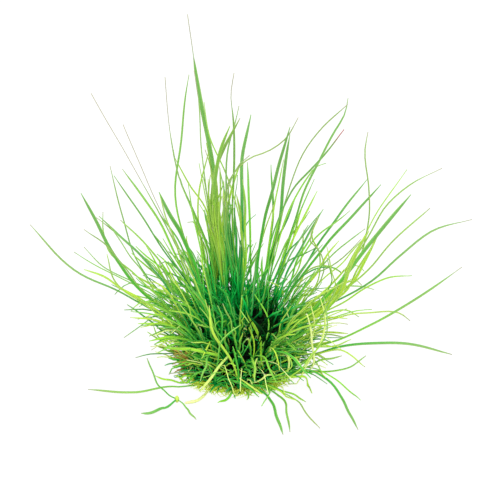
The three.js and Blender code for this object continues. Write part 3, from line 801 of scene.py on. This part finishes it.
def leaf_skin(leaves):
    """The leaves' skins: middle + side x half width x cos + face x (half thickness x sin + fold)."""
    path = np.array([leaf["path"] for leaf in leaves])
    side = np.array([leaf["side"] for leaf in leaves])
    tangent = unit(np.gradient(path, axis=1))
    face = unit(np.cross(side, tangent))
    side = unit(np.cross(tangent, face))
    t = np.linspace(0, 1, path.shape[1])[None, :, None]
    angle = even_angles(ROUND)
    half = np.maximum(given(leaves, "width") / 2 * width_share(t, given(leaves, "thread")), NARROWEST / 2)
    thick = np.minimum(THICKNESS / 2, half)
    out = half * np.cos(angle)
    up = thick * np.sin(angle) + FOLD * half * np.abs(np.cos(angle))
    return path[:, :, None] + side[:, :, None] * out[..., None] + face[:, :, None] * up[..., None]


def tube_faces(tubes, stations, around, start):
    """Four-cornered faces between neighbouring stations, and one many-cornered face on each end."""
    first = np.arange(tubes)[:, None, None] * stations * around + start
    along = np.arange(stations - 1)[None, :, None] * around
    here = np.arange(around)
    after = (here + 1) % around
    a, b = first + along + here, first + along + after
    walls = np.stack([a, b, b + around, a + around], axis=-1).reshape(-1, 4)
    foot = first[:, 0] + np.arange(around)[::-1]
    tip = first[:, 0] + (stations - 1) * around + np.arange(around)
    return walls.tolist() + foot.tolist() + tip.tolist()


def point_numbers(leaves):
    """The numbers of each point, first of all along (0 foot, 1 tip) and across (-1 to 1)."""
    path = np.array([leaf["path"] for leaf in leaves])
    lengths = np.array([length_of(line) for line in path])[:, None, None]
    along = np.linspace(0, 1, path.shape[1])[:, None]
    shade = given(leaves, "shade")
    away = np.hypot(path[..., :1], path[..., 1:2]) / INNER_REACH
    above = np.maximum(path[..., 2:] - top_height(path[..., 1:2]), 0)
    # Painted shade: darkest near the ball's top and its axis, for each leaf's share of it.
    deep = shade * np.exp(-(away**4)) * np.exp(-np.maximum(shade, 1) * (above / INNER_HEIGHT) ** 2)
    # Painted black shade on the leaves that cross the hollow, fading out with height.
    gloom = given(leaves, "gloom") * np.exp(-((above / HOLLOW_SHADE_HEIGHT) ** 4))
    return {
        "deep": np.maximum(deep, gloom),
        "withered": withered(along, given(leaves, "thread"), given(leaves, "dry")),
        "red": np.clip((along - RED_FROM) / TIP_OVER, 0, 1) * given(leaves, "red"),
        "along": along,
        "across": np.cos(even_angles(ROUND)),
        "reach": along * lengths / CENTIMETRE,
        "tint": given(leaves, "tint"),
        "dry": given(leaves, "dry"),
        "seed": given(leaves, "tint") * SEED_STEP % 1,
    }


def placed(name, data):
    """A new object in the scene."""
    piece = bpy.data.objects.new(name, data)
    bpy.context.scene.collection.objects.link(piece)
    return piece


def mesh_piece(name, parts, material):
    """One smooth mesh of parts, each a skin and the numbers that are kept on its points."""
    faces = []
    start = 0
    for skin, _ in parts:
        faces += tube_faces(*skin.shape[:3], start)
        start += skin.size // 3
    points = np.concatenate([skin.reshape(-1, 3) for skin, _ in parts])
    data = bpy.data.meshes.new(name)
    data.from_pydata(points.tolist(), [], faces)
    data.polygons.foreach_set("use_smooth", np.ones(len(faces), bool))
    for key in parts[0][1]:
        spread = [np.broadcast_to(numbers[key], skin.shape[:3]).reshape(-1) for skin, numbers in parts]
        layer = data.attributes.new(key, "FLOAT", "POINT")
        layer.data.foreach_set("value", np.concatenate(spread).astype(np.float32))
    data.materials.append(material)
    data.update()
    piece = placed(name, data)
    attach(piece, "root")
    return piece


print("one leaf has", STATIONS * ROUND, "points and one fine leaf has", FINE_STATIONS * ROUND)

# %% [markdown]
# At the foot of each shoot its leaves come out of a small crown, a bud no wider than three millimetres.
# It is a stretched ball: its sections grow and shrink as the sine of the way up.

# %% Make the crowns
CROWN_STATIONS = 7
BUD_RADIUS = 0.9 * MM


def crown_skin(centre):
    """Points of a bud: circles whose radius follows a sine from its foot to its tip."""
    turn = np.linspace(0.04, 0.96, CROWN_STATIONS)[:, None] * math.pi
    angle = even_angles(ROUND)
    radius = BUD_RADIUS * np.sin(turn)
    height = -CROWN_RADIUS * np.cos(turn) * np.ones(ROUND)
    ring = np.stack([radius * np.cos(angle), radius * np.sin(angle), height], axis=-1)
    return centre + ring[None]


def crown_numbers(name):
    """A bud takes the colour of the leaves' feet. All but the daughter's get full painted shade."""
    values = {"along": 0.05, "across": 0.0, "reach": 0.1, "tint": 0.92, "dry": 0.3, "seed": 0.3}
    return {**values, "deep": float(name != "daughter_shoot"), "withered": 0.0, "red": 0.0}


print("a crown has", CROWN_STATIONS * ROUND, "points")

# %% [markdown]
# A leaf is fleshy and smooth, with fine veins along it and faint cross walls every few millimetres.
# The veins are a noise that is stretched along the leaf, and they are needed on the runner too,
# so they are a group of nodes of their own that puts out one mask and one height.

# %% Build the shared vein pattern
VEIN_STRETCH = {"X": 3.0, "Y": 0.5, "Z": 40.0}
VEIN_SCALE = 1.6
VEIN_DETAIL = 3
WALLS_APART = 0.3
WALL_WIDTH = 0.022
WALL_DEPTH = 0.12


def feed(tree, node, values):
    """Fills named inputs of a node: a socket is linked, and a number or a colour is set."""
    for key, value in values.items():
        if isinstance(value, bpy.types.NodeSocket):
            tree.links.new(value, node.inputs[key])
        else:
            node.inputs[key].default_value = (*value, 1) if isinstance(value, tuple) else value


def made(tree, kind, values, output, **settings):
    """One output of a new node, whose inputs and settings are filled in."""
    node = tree.nodes.new("ShaderNode" + kind)
    for key, value in settings.items():
        setattr(node, key, value)
    feed(tree, node, values)
    return node.outputs[output]


def value_of(tree, key):
    """One of the numbers kept on the points."""
    return made(tree, "Attribute", {}, "Fac", attribute_name=key)


def maths(tree, operation, one, two=0.0, three=0.0, clamp=False):
    """One step of arithmetic between sockets or plain numbers."""
    return made(tree, "Math", {0: one, 1: two, 2: three}, 0, operation=operation, use_clamp=clamp)


def mixed(tree, factor, one, two, blend="MIX"):
    """Two colours mixed by a factor. Each may be a socket or a plain colour."""
    return made(tree, "Mix", {0: factor, 6: one, 7: two}, 2, data_type="RGBA", blend_type=blend)


def noise(tree, place, scale, detail, distortion=0.0):
    """A soft random pattern, from 0 to 1, that depends on a place."""
    values = {"Vector": place, "Scale": scale, "Detail": detail, "Distortion": distortion}
    return made(tree, "TexNoise", values, "Fac")


def bump(tree, height, strength, distance):
    """The normal of a surface roughened by a height."""
    return made(tree, "Bump", {"Strength": strength, "Distance": distance, "Height": height}, "Normal")


def ramp(tree, factor, stops):
    """A colour that depends on a factor, from places and colours."""
    node = tree.nodes.new("ShaderNodeValToRGB")
    elements = node.color_ramp.elements
    while len(elements) < len(stops):
        elements.new(0.5)
    for element, (place, colour) in zip(elements, stops):
        element.position = place
        element.color = (*colour, 1)
    feed(tree, node, {"Fac": factor})
    return node.outputs["Color"]


def vein_group():
    """Veins: noise of (across, along, seed), each times its stretch, less a faint line at each wall."""
    tree = bpy.data.node_groups.new("leaf veins", "ShaderNodeTree")
    for key in ("Across", "Reach", "Seed"):
        tree.interface.new_socket(key, in_out="INPUT", socket_type="NodeSocketFloat")
    for key in ("Mask", "Height"):
        tree.interface.new_socket(key, in_out="OUTPUT", socket_type="NodeSocketFloat")
    across, reach, seed = list(tree.nodes.new("NodeGroupInput").outputs)[:3]
    stretched = {
        axis: maths(tree, "MULTIPLY", socket, VEIN_STRETCH[axis])
        for axis, socket in zip(VEIN_STRETCH, (across, reach, seed))
    }
    streaks = noise(tree, made(tree, "CombineXYZ", stretched, "Vector"), VEIN_SCALE, VEIN_DETAIL)
    from_wall = maths(tree, "PINGPONG", maths(tree, "ADD", reach, seed), WALLS_APART)
    wall = maths(tree, "LESS_THAN", from_wall, WALL_WIDTH)
    mask = maths(tree, "SUBTRACT", streaks, maths(tree, "MULTIPLY", wall, WALL_DEPTH), clamp=True)
    feed(tree, tree.nodes.new("NodeGroupOutput"), {"Mask": mask, "Height": mask})
    return tree


VEINS = vein_group()


def veins(tree):
    """The shared vein pattern, fed with the numbers of the piece that it is used on."""
    node = tree.nodes.new("ShaderNodeGroup")
    node.node_tree = VEINS
    feed(tree, node, {key: value_of(tree, key.lower()) for key in ("Across", "Reach", "Seed")})
    return node.outputs


print("shared pattern:", VEINS.name)

# %% [markdown]
# The green of a leaf comes from its tint, and changes along it: paler at the foot, full in the middle,
# duller a few centimetres up, and dry and brownish at the very tip. One tip is red.
# Its edges are paler than its middle, and dry leaves turn olive, most of all near the tip.
# Deep in the clump every leaf gets a painted shade of darker, bluer green, nearly black in the hollow.
# The skin has a faint gloss and its roughness follows the veins.

# %% Make the leaf material
GREENS = {
    "blue-green": (0, (0.002, 0.22, 0.06)),
    "dark green": (0.22, (0.01, 0.34, 0.03)),
    "mid green": (0.5, (0.17, 0.5, 0.02)),
    "light green": (0.72, (0.34, 0.58, 0.03)),
    "yellow-green": (0.9, (0.48, 0.66, 0.05)),
    "cream": (1, (0.75, 0.82, 0.35)),
}
HIGH_GREEN = (0.125, 0.325, 0.088)
EDGE_GREEN = (0.6, 0.7, 0.26)
FOOT_COLOUR = (0.3, 0.42, 0.08)
# Painted shade colours: a darker, bluer green deep in the clump, then nearly black.
SHADE_GREEN = (0.0, 0.38, 0.05)
PAINTED_DARK_SHADE = (0.0, 0.022, 0.002)
OLIVE = (0.29, 0.34, 0.13)
WITHERED = (0.36, 0.31, 0.25)
RED_TIP = (0.36, 0.1, 0.09)
STREAKS = [(0.3, (0.78, 0.82, 0.7)), (0.7, (1, 1, 1))]
HIGH_FROM = 2.5
HIGH_OVER = 3.5
HIGH_TINT = 1.25
EDGE_POWER = 3.0
EDGE_FOOT = 0.1
EDGE_MORE = 0.2
EDGE_MOST = 0.55
FOOT_OVER = 0.07
FOOT_MOST = 0.6
OLIVE_FOOT = 0.25
OLIVE_MORE = 0.75
WITHERED_MOST = 0.8
SHADE_RISE = 1.5
DARK_SHADE_RISE = 1.35
DARK_SHADE_START = -0.65
LEAF_GLOSS = 0.04
LEAF_ROUGHNESS = 0.42
VEIN_ROUGHNESS = 0.2
LEAF_BUMP = (0.35, 0.2 * MM)


def new_material(name):
    """An empty node material with a principled shader, and the shader itself."""
    material = bpy.data.materials.new(name)
    material.use_nodes = True
    shader = material.node_tree.nodes["Principled BSDF"]
    return material, material.node_tree, shader


def leaf_material():
    """Tint picks the green, along shades it, dryness turns it olive, veins streak it, and painted shade
    darkens it.
    """
    material, tree, shader = new_material("leaf green")
    keys = ("tint", "reach", "across", "along", "dry", "withered", "red", "deep")
    read = {key: value_of(tree, key) for key in keys}
    pattern = veins(tree)
    colour = ramp(tree, read["tint"], GREENS.values())
    up = maths(tree, "DIVIDE", maths(tree, "SUBTRACT", read["reach"], HIGH_FROM), HIGH_OVER, clamp=True)
    high = maths(tree, "MULTIPLY", up, maths(tree, "SUBTRACT", HIGH_TINT, read["tint"]), clamp=True)
    edge = maths(tree, "POWER", maths(tree, "ABSOLUTE", read["across"]), EDGE_POWER)
    outer = maths(tree, "MULTIPLY_ADD", read["reach"], EDGE_MORE, EDGE_FOOT, clamp=True)
    foot = maths(tree, "SUBTRACT", 1.0, maths(tree, "DIVIDE", read["along"], FOOT_OVER), clamp=True)
    olive = maths(tree, "MULTIPLY_ADD", read["along"], OLIVE_MORE, OLIVE_FOOT)
    layers = [
        (high, HIGH_GREEN),
        (maths(tree, "MULTIPLY", edge, maths(tree, "MINIMUM", outer, EDGE_MOST)), EDGE_GREEN),
        (maths(tree, "MULTIPLY", foot, FOOT_MOST), FOOT_COLOUR),
        (maths(tree, "MULTIPLY", olive, read["dry"], clamp=True), OLIVE),
        (maths(tree, "MULTIPLY", read["withered"], WITHERED_MOST), WITHERED),
        (read["red"], RED_TIP),
    ]
    # Painted shade, mixed in last over all other colours.
    shades = [
        (maths(tree, "MULTIPLY", read["deep"], SHADE_RISE, clamp=True), SHADE_GREEN),
        (maths(tree, "MULTIPLY_ADD", read["deep"], DARK_SHADE_RISE, DARK_SHADE_START, clamp=True), PAINTED_DARK_SHADE),
    ]
    for share, layer in layers:
        colour = mixed(tree, share, colour, layer)
    colour = mixed(tree, 1.0, colour, ramp(tree, pattern["Mask"], STREAKS), "MULTIPLY")
    for share, layer in shades:
        colour = mixed(tree, share, colour, layer)
    looks = {
        "Base Color": colour,
        "Roughness": maths(tree, "MULTIPLY_ADD", pattern["Mask"], VEIN_ROUGHNESS, LEAF_ROUGHNESS),
        "Specular IOR Level": LEAF_GLOSS,
        "Normal": bump(tree, pattern["Height"], *LEAF_BUMP),
    }
    feed(tree, shader, looks)
    return material


LEAF = leaf_material()
print("material:", LEAF.name)

# %% [markdown]
# Now each shoot becomes one piece: its leaves, its fine and short leaves, and its crown.
# It replaces the faceted shoot, which stays in the physics model.

# %% Dress the shoots
def shoot_piece(name):
    """One mesh with a shoot's leaves of all three kinds and its crown, in place of its faceted solid."""
    kinds = (LEAVES[name], FINE_LEAVES[name], SHORT_LEAVES[name])
    parts = [(leaf_skin(leaves), point_numbers(leaves)) for leaves in kinds if leaves]
    parts.append((crown_skin(CROWN[name]), crown_numbers(name)))
    piece = mesh_piece(name.replace("shoot", "leaves"), parts, LEAF)
    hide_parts(name)
    return piece


shoot_pieces = [shoot_piece(name) for name in SHOOTS]
print("faces on the shoots:", sum(len(piece.data.polygons) for piece in shoot_pieces))

# %% [markdown]
# The root ball is a mat of thousands of thread-like roots round dark soil.
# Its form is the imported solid's, worked out again on a fine grid of bearing and profile,
# and pushed in by a noise of waves, so that it looks matted and stays inside the solid.

# %% Make the root ball
BALL_AROUND = 180
BALL_UP = 90
EDGE_SHARE = 0.3
POLE = 0.05 * MM
PUSHED_IN = 1.1 * MM
WAVES = 40
WAVE_SCALE = 450
WAVE_SPAN = 18
SOIL = [(0.35, (0.0, 0.001, 0.0)), (0.58, (0.001, 0.004, 0.001)), (0.8, (0.012, 0.016, 0.004))]
MAT_NOISE = (420, 6, 1.5)
MAT_BUMP = (0.8, 0.6 * MM)
waves = rng.normal(size=(WAVES, 3)) * WAVE_SCALE
phases = rng.uniform(0, 2 * math.pi, WAVES)


def matting(points):
    """A rough pattern from 0 to 1: the sum of forty waves in seeded directions, scaled and cut off."""
    total = np.sin(points @ waves.T + phases).sum(axis=-1)
    return np.clip(0.5 + total / WAVE_SPAN, 0, 1)


def ball_profile(share):
    """Radius and height at a share of the way from the underside's middle over the side to the top's."""
    edge = BALL_EDGE * EDGE_SHARE
    corners = [
        (POLE, 0),
        (BALL_RADIUS - BALL_TAPER - MM, 0),
        (BALL_RADIUS - BALL_TAPER, MM),
        (BALL_RADIUS, BALL_HEIGHT - BALL_EDGE),
        (BALL_RADIUS - edge, BALL_HEIGHT - edge),
        (BALL_RADIUS - BALL_EDGE, BALL_HEIGHT),
        (POLE, BALL_HEIGHT),
    ]
    radii, heights = np.array(corners).T
    walked = np.concatenate([[0], np.cumsum(np.hypot(np.diff(radii), np.diff(heights)))])
    at = share * walked[-1]
    return np.interp(at, walked, radii), np.interp(at, walked, heights)


def ball_skin():
    """The profile turned round the axis, lumpy by bearing, and pushed in by the matting."""
    radius, height = ball_profile(np.linspace(0, 1, BALL_UP))
    bearing = even_angles(BALL_AROUND)
    wide = radius[:, None] * lumps(bearing)[None]
    y = wide * np.sin(bearing)
    skin = np.stack([wide * np.cos(bearing), y, height[:, None] / BALL_HEIGHT * top_height(y)], axis=-1)
    inward = unit(np.array([0, 0, BALL_HEIGHT / 2]) - skin)
    inward[..., 2] *= (height > 0.5 * MM)[:, None]
    return (skin + inward * matting(skin)[..., None] * PUSHED_IN)[None]


def root_material():
    """Nearly black soil, with brown where the mat is proud, and fine threads from twisted noise."""
    material, tree, shader = new_material("matted roots")
    pattern = noise(tree, made(tree, "TexCoord", {}, "Object"), *MAT_NOISE)
    looks = {
        "Base Color": ramp(tree, pattern, SOIL),
        "Normal": bump(tree, pattern, *MAT_BUMP),
        "Roughness": 0.95,
        "Specular IOR Level": 0.05,
    }
    feed(tree, shader, looks)
    return material


ball = mesh_piece("root_mat", [(ball_skin(), {})], root_material())
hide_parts("root_ball")
print("root ball faces:", len(ball.data.polygons))

# %% [markdown]
# Single roots stand a little proud of the mat and wander over it.
# Each is a thin three-sided thread: it starts at a seeded bearing and share of the profile,
# and its bearing and share drift as it goes.
# Round the foot of the ball roots hang out a few millimetres: dark ones on all sides but the front,
# and young, yellow ones in front. On its left side some stubs of old shoots are left, short and brown.
# Each of these three kinds has a count, a range of bearings in degrees, ranges of heights,
# reaches and rises in millimetres, and a radius.

# %% Lay root threads over the ball
THREADS = 560
YOUNG_ROOTS = 480
DARK_ROOTS = 700
STUBS = 46
THREAD_STATIONS = 12
THREAD_RADIUS = 0.16 * MM
LOWEST_THREAD = 0.25 * MM
TILTED = np.array([0.3, 0.2, 1.0])
THREAD_START = (0.3, 0.9)
THREAD_ENDS = (0.29, 0.97)
THREAD_DRIFT = 0.07
THREAD_TURN = 0.3
WIGGLE = 0.01
WIGGLES = (4, 14)
THREAD_SUNK = 0.35 * MM
THREAD_LOWERED = 0.2 * MM
HANGING_CURL = 0.12
HANGING_SUNK = 0.5 * MM
HANGING_RADIUS = 1.3 * THREAD_RADIUS
STUB_RADIUS = 3 * THREAD_RADIUS
HANGING = {
    "young roots in front": (YOUNG_ROOTS, (215, 325), (0.3, 3), (1, 7), (-2, 0.5), HANGING_RADIUS),
    "dark roots elsewhere": (DARK_ROOTS, (-35, 215), (0.3, 5), (0.5, 4), (-2, 0.5), HANGING_RADIUS),
    "stubs on the left": (STUBS, (188, 218), (2, 13), (4, 9), (0, 1.5), STUB_RADIUS),
}
YOUNG_COLOUR = 1.0
STUB_COLOUR = 0.95
COLOUR_SPREAD = 0.01
MAT_COLOURS = (0, 0.9)
DARK_COLOURS = (0.6, 0.93)


def thread_paths():
    """Middle lines of the threads: on the ball's profile, drifting by bearing and share."""
    steps = np.linspace(0, 1, THREAD_STATIONS)[None]
    start = rng.uniform(*THREAD_START, (THREADS, 1))
    drift = rng.normal(0, THREAD_DRIFT, (THREADS, 1))
    turn = rng.uniform(0, 2 * math.pi, (THREADS, 1)) + rng.normal(0, THREAD_TURN, (THREADS, 1)) * steps
    wiggle = WIGGLE * np.sin(steps * rng.uniform(*WIGGLES, (THREADS, 1)) + turn * 9)
    share = np.clip(start + drift * steps + wiggle, *THREAD_ENDS)
    radius, height = ball_profile(share)
    radius = (radius - THREAD_SUNK) * lumps(turn)
    y = radius * np.sin(turn)
    raised = np.maximum(height / BALL_HEIGHT * top_height(y) - THREAD_LOWERED, LOWEST_THREAD)
    return np.stack([radius * np.cos(turn), y, raised], axis=-1)


def hanging_paths(count, bearings, heights, reach, rise):
    """Middle lines that leave the ball's side, curl sideways, and rise or sink on their way out."""
    steps = np.linspace(0, 1, THREAD_STATIONS)[None]
    first, last = (math.radians(bearing) for bearing in bearings)
    bearing = rng.uniform(first, last, (count, 1)) + rng.normal(0, HANGING_CURL, (count, 1)) * steps**2
    height = rng.uniform(*heights, (count, 1)) * MM
    radius = (BALL_RADIUS - BALL_TAPER) * lumps(bearing) - HANGING_SUNK
    radius = radius + rng.uniform(*reach, (count, 1)) * MM * steps
    height = np.maximum(height + rng.uniform(*rise, (count, 1)) * MM * steps, LOWEST_THREAD)
    return np.stack([radius * np.cos(bearing), radius * np.sin(bearing), height], axis=-1)


def tube_skin(path, across, count, radius):
    """Circles round lines: path + (side x cos + face x sin) x radius, the side square to a direction."""
    tangent = unit(np.gradient(path, axis=1))
    side = unit(np.cross(tangent, across))[:, :, None]
    face = np.cross(side, tangent[:, :, None])
    angle = even_angles(count)[:, None]
    return path[:, :, None] + (side * np.cos(angle) + face * np.sin(angle)) * radius[:, None, None]


def thread_skin(path, radius):
    """Three-sided tubes round the lines, thinner towards the ends."""
    return tube_skin(path, TILTED, 3, radius * np.sin(np.linspace(0.15, 0.95, THREAD_STATIONS) * math.pi))


def thread_material():
    """Each root's own colour, from its seed: dark, mossy green, brown for stubs, and yellow when young."""
    material, tree, shader = new_material("root threads")
    browns = [
        (0, (0.001, 0.004, 0.001)),
        (0.5, (0.003, 0.03, 0.008)),
        (0.8, (0.01, 0.09, 0.015)),
        (0.9, (0.06, 0.07, 0.015)),
        (STUB_COLOUR, (0.5, 0.33, 0.07)),
        (YOUNG_COLOUR, (0.6, 0.8, 0.07)),
    ]
    colour = ramp(tree, value_of(tree, "seed"), browns)
    feed(tree, shader, {"Base Color": colour, "Roughness": 0.7, "Specular IOR Level": 0.1})
    return material


skin = np.concatenate([
    thread_skin(thread_paths(), THREAD_RADIUS),
    *(thread_skin(hanging_paths(*ranges), radius) for *ranges, radius in HANGING.values()),
])
seeds = np.concatenate([
    rng.uniform(*MAT_COLOURS, THREADS),
    YOUNG_COLOUR - rng.uniform(0, COLOUR_SPREAD, YOUNG_ROOTS),
    rng.uniform(*DARK_COLOURS, DARK_ROOTS),
    np.full(STUBS, STUB_COLOUR),
])
threads = mesh_piece("root_threads", [(skin, {"seed": seeds[:, None, None]})], thread_material())
print("root threads:", len(skin))

# %% [markdown]
# The runner is the pale stem by which the plant spreads: it creeps from the ball to a young shoot.
# It is round, with a slightly thicker joint where a leaf or a root may come out.
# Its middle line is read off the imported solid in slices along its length.

# %% Make the runner
RUNNER_SLICES = 7
RUNNER_RADIUS = 0.6 * MM
RUNNER_STATIONS = 40
RUNNER_JOINTS = 3
JOINT_SWELL = 0.18
JOINT_WIDTH = 0.006
FITTED = 0.94
RUNNER_LENGTH = 1.8
RUNNER_SEED = 0.4
RUNNER_BUMP = (0.3, 0.2 * MM)
RUNNER_GREENS = [(0.3, (0.42, 0.5, 0.12)), (0.7, (0.72, 0.76, 0.3))]
UPRIGHT = np.array([0, 0, 1.0])


def runner_line():
    """Middles of equal slices of the runner's solid, from the ball outwards, and both of its ends."""
    points, _ = merged(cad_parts["runner"])
    away = np.linalg.norm(points[:, :2], axis=1)
    near_end, far_end = points[away.argmin()], points[away.argmax()]
    along = (points - near_end) @ unit(far_end - near_end)
    slices = np.clip((along / along.max() * RUNNER_SLICES).astype(int), 0, RUNNER_SLICES - 1)
    line = np.array([points[slices == k].mean(axis=0) for k in range(RUNNER_SLICES)])
    return np.array([1.5 * line[0] - 0.5 * line[1], *line, 1.5 * line[-1] - 0.5 * line[-2]])


def runner_skin(line):
    """Circles along the line, wider at the joints, closed to a dome at both ends."""
    t = np.linspace(0, 1, RUNNER_STATIONS)
    dome = np.sqrt(np.clip(1 - np.abs(2 * t - 1) ** 12, 0.01, 1))
    joints = 1 + JOINT_SWELL * np.exp(-(((t * RUNNER_JOINTS) % 1 - 0.5) ** 2) / JOINT_WIDTH)
    radius = RUNNER_RADIUS * FITTED * dome * joints
    return tube_skin(smooth(line, line, RUNNER_STATIONS)[None], UPRIGHT, ROUND, radius)


def runner_material():
    """Cream with a little green, streaked by the shared veins."""
    material, tree, shader = new_material("pale runner")
    pattern = veins(tree)
    looks = {
        "Base Color": ramp(tree, pattern["Mask"], RUNNER_GREENS),
        "Normal": bump(tree, pattern["Height"], *RUNNER_BUMP),
        "Roughness": 0.45,
    }
    feed(tree, shader, looks)
    return material


runner_numbers = {
    "across": np.cos(even_angles(ROUND)),
    "reach": np.linspace(0, RUNNER_LENGTH, RUNNER_STATIONS)[:, None],
    "seed": RUNNER_SEED,
}
runner = mesh_piece("creeping_stem", [(runner_skin(runner_line()), runner_numbers)], runner_material())
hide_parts("runner")
print("runner faces:", len(runner.data.polygons))

# %% [markdown]
# The clump stands on a plain pale floor in soft, even light, as in a light tent.
# The light comes from the whole sky, from two large lamps and, faintly, from the floor itself,
# so the shadows are nearly gone.

# %% Floor, light and camera
FLOOR_HALF = 4.0
FLOOR_GREY = 0.05
FLOOR_GLOW = 0.93
SKY_LIGHT = 1.6
LAMPS = {
    "lamp above": ((-0.3, -0.4, 1.1), 0.9, 7),
    "lamp in front": ((0.4, -1.0, 0.5), 0.8, 5),
}
SENSOR = 36
WHITE = (1.0, 1.0, 1.0)


def facing(away):
    """The turn of a lamp or camera that looks from a place off its target back to it."""
    return Vector(-np.array(away)).to_track_quat("-Z", "Y").to_euler()


def pale_floor():
    """A flat square under the plant."""
    data = bpy.data.meshes.new("floor")
    h = FLOOR_HALF
    data.from_pydata([(-h, -h, 0), (h, -h, 0), (h, h, 0), (-h, h, 0)], [], [(0, 1, 2, 3)])
    material, tree, shader = new_material("pale floor")
    grey = (FLOOR_GREY, FLOOR_GREY, FLOOR_GREY)
    looks = {"Base Color": grey, "Roughness": 0.9, "Emission Color": WHITE, "Emission Strength": FLOOR_GLOW}
    feed(tree, shader, looks)
    data.materials.append(material)
    placed("floor", data)


def soft_lamp(name, place, size, power):
    """A square lamp that faces the plant."""
    light = bpy.data.lights.new(name, "AREA")
    light.size = size
    light.energy = power
    lamp = placed(name, light)
    lamp.location = place
    lamp.rotation_euler = facing(place)


pale_floor()
for name, looks in LAMPS.items():
    soft_lamp(name, *looks)
scene = bpy.context.scene
scene.world = bpy.data.worlds.new("sky")
scene.world.use_nodes = True
sky = scene.world.node_tree
feed(sky, sky.nodes["Background"], {"Color": WHITE, "Strength": SKY_LIGHT})
scene.view_settings.view_transform = "Standard"

scene.camera = placed("camera", bpy.data.cameras.new("camera"))
scene.camera.data.sensor_width = SENSOR
scene.camera.data.lens = SENSOR * DISTANCE / (2 * MIDDLE_PIXEL * PIXEL)
scene.camera.location = MIDDLE + VIEW_UP * AIM_HEIGHT + TO_CAMERA * DISTANCE
scene.camera.rotation_euler = facing(TO_CAMERA)
print("lens", round(scene.camera.data.lens), "mm")
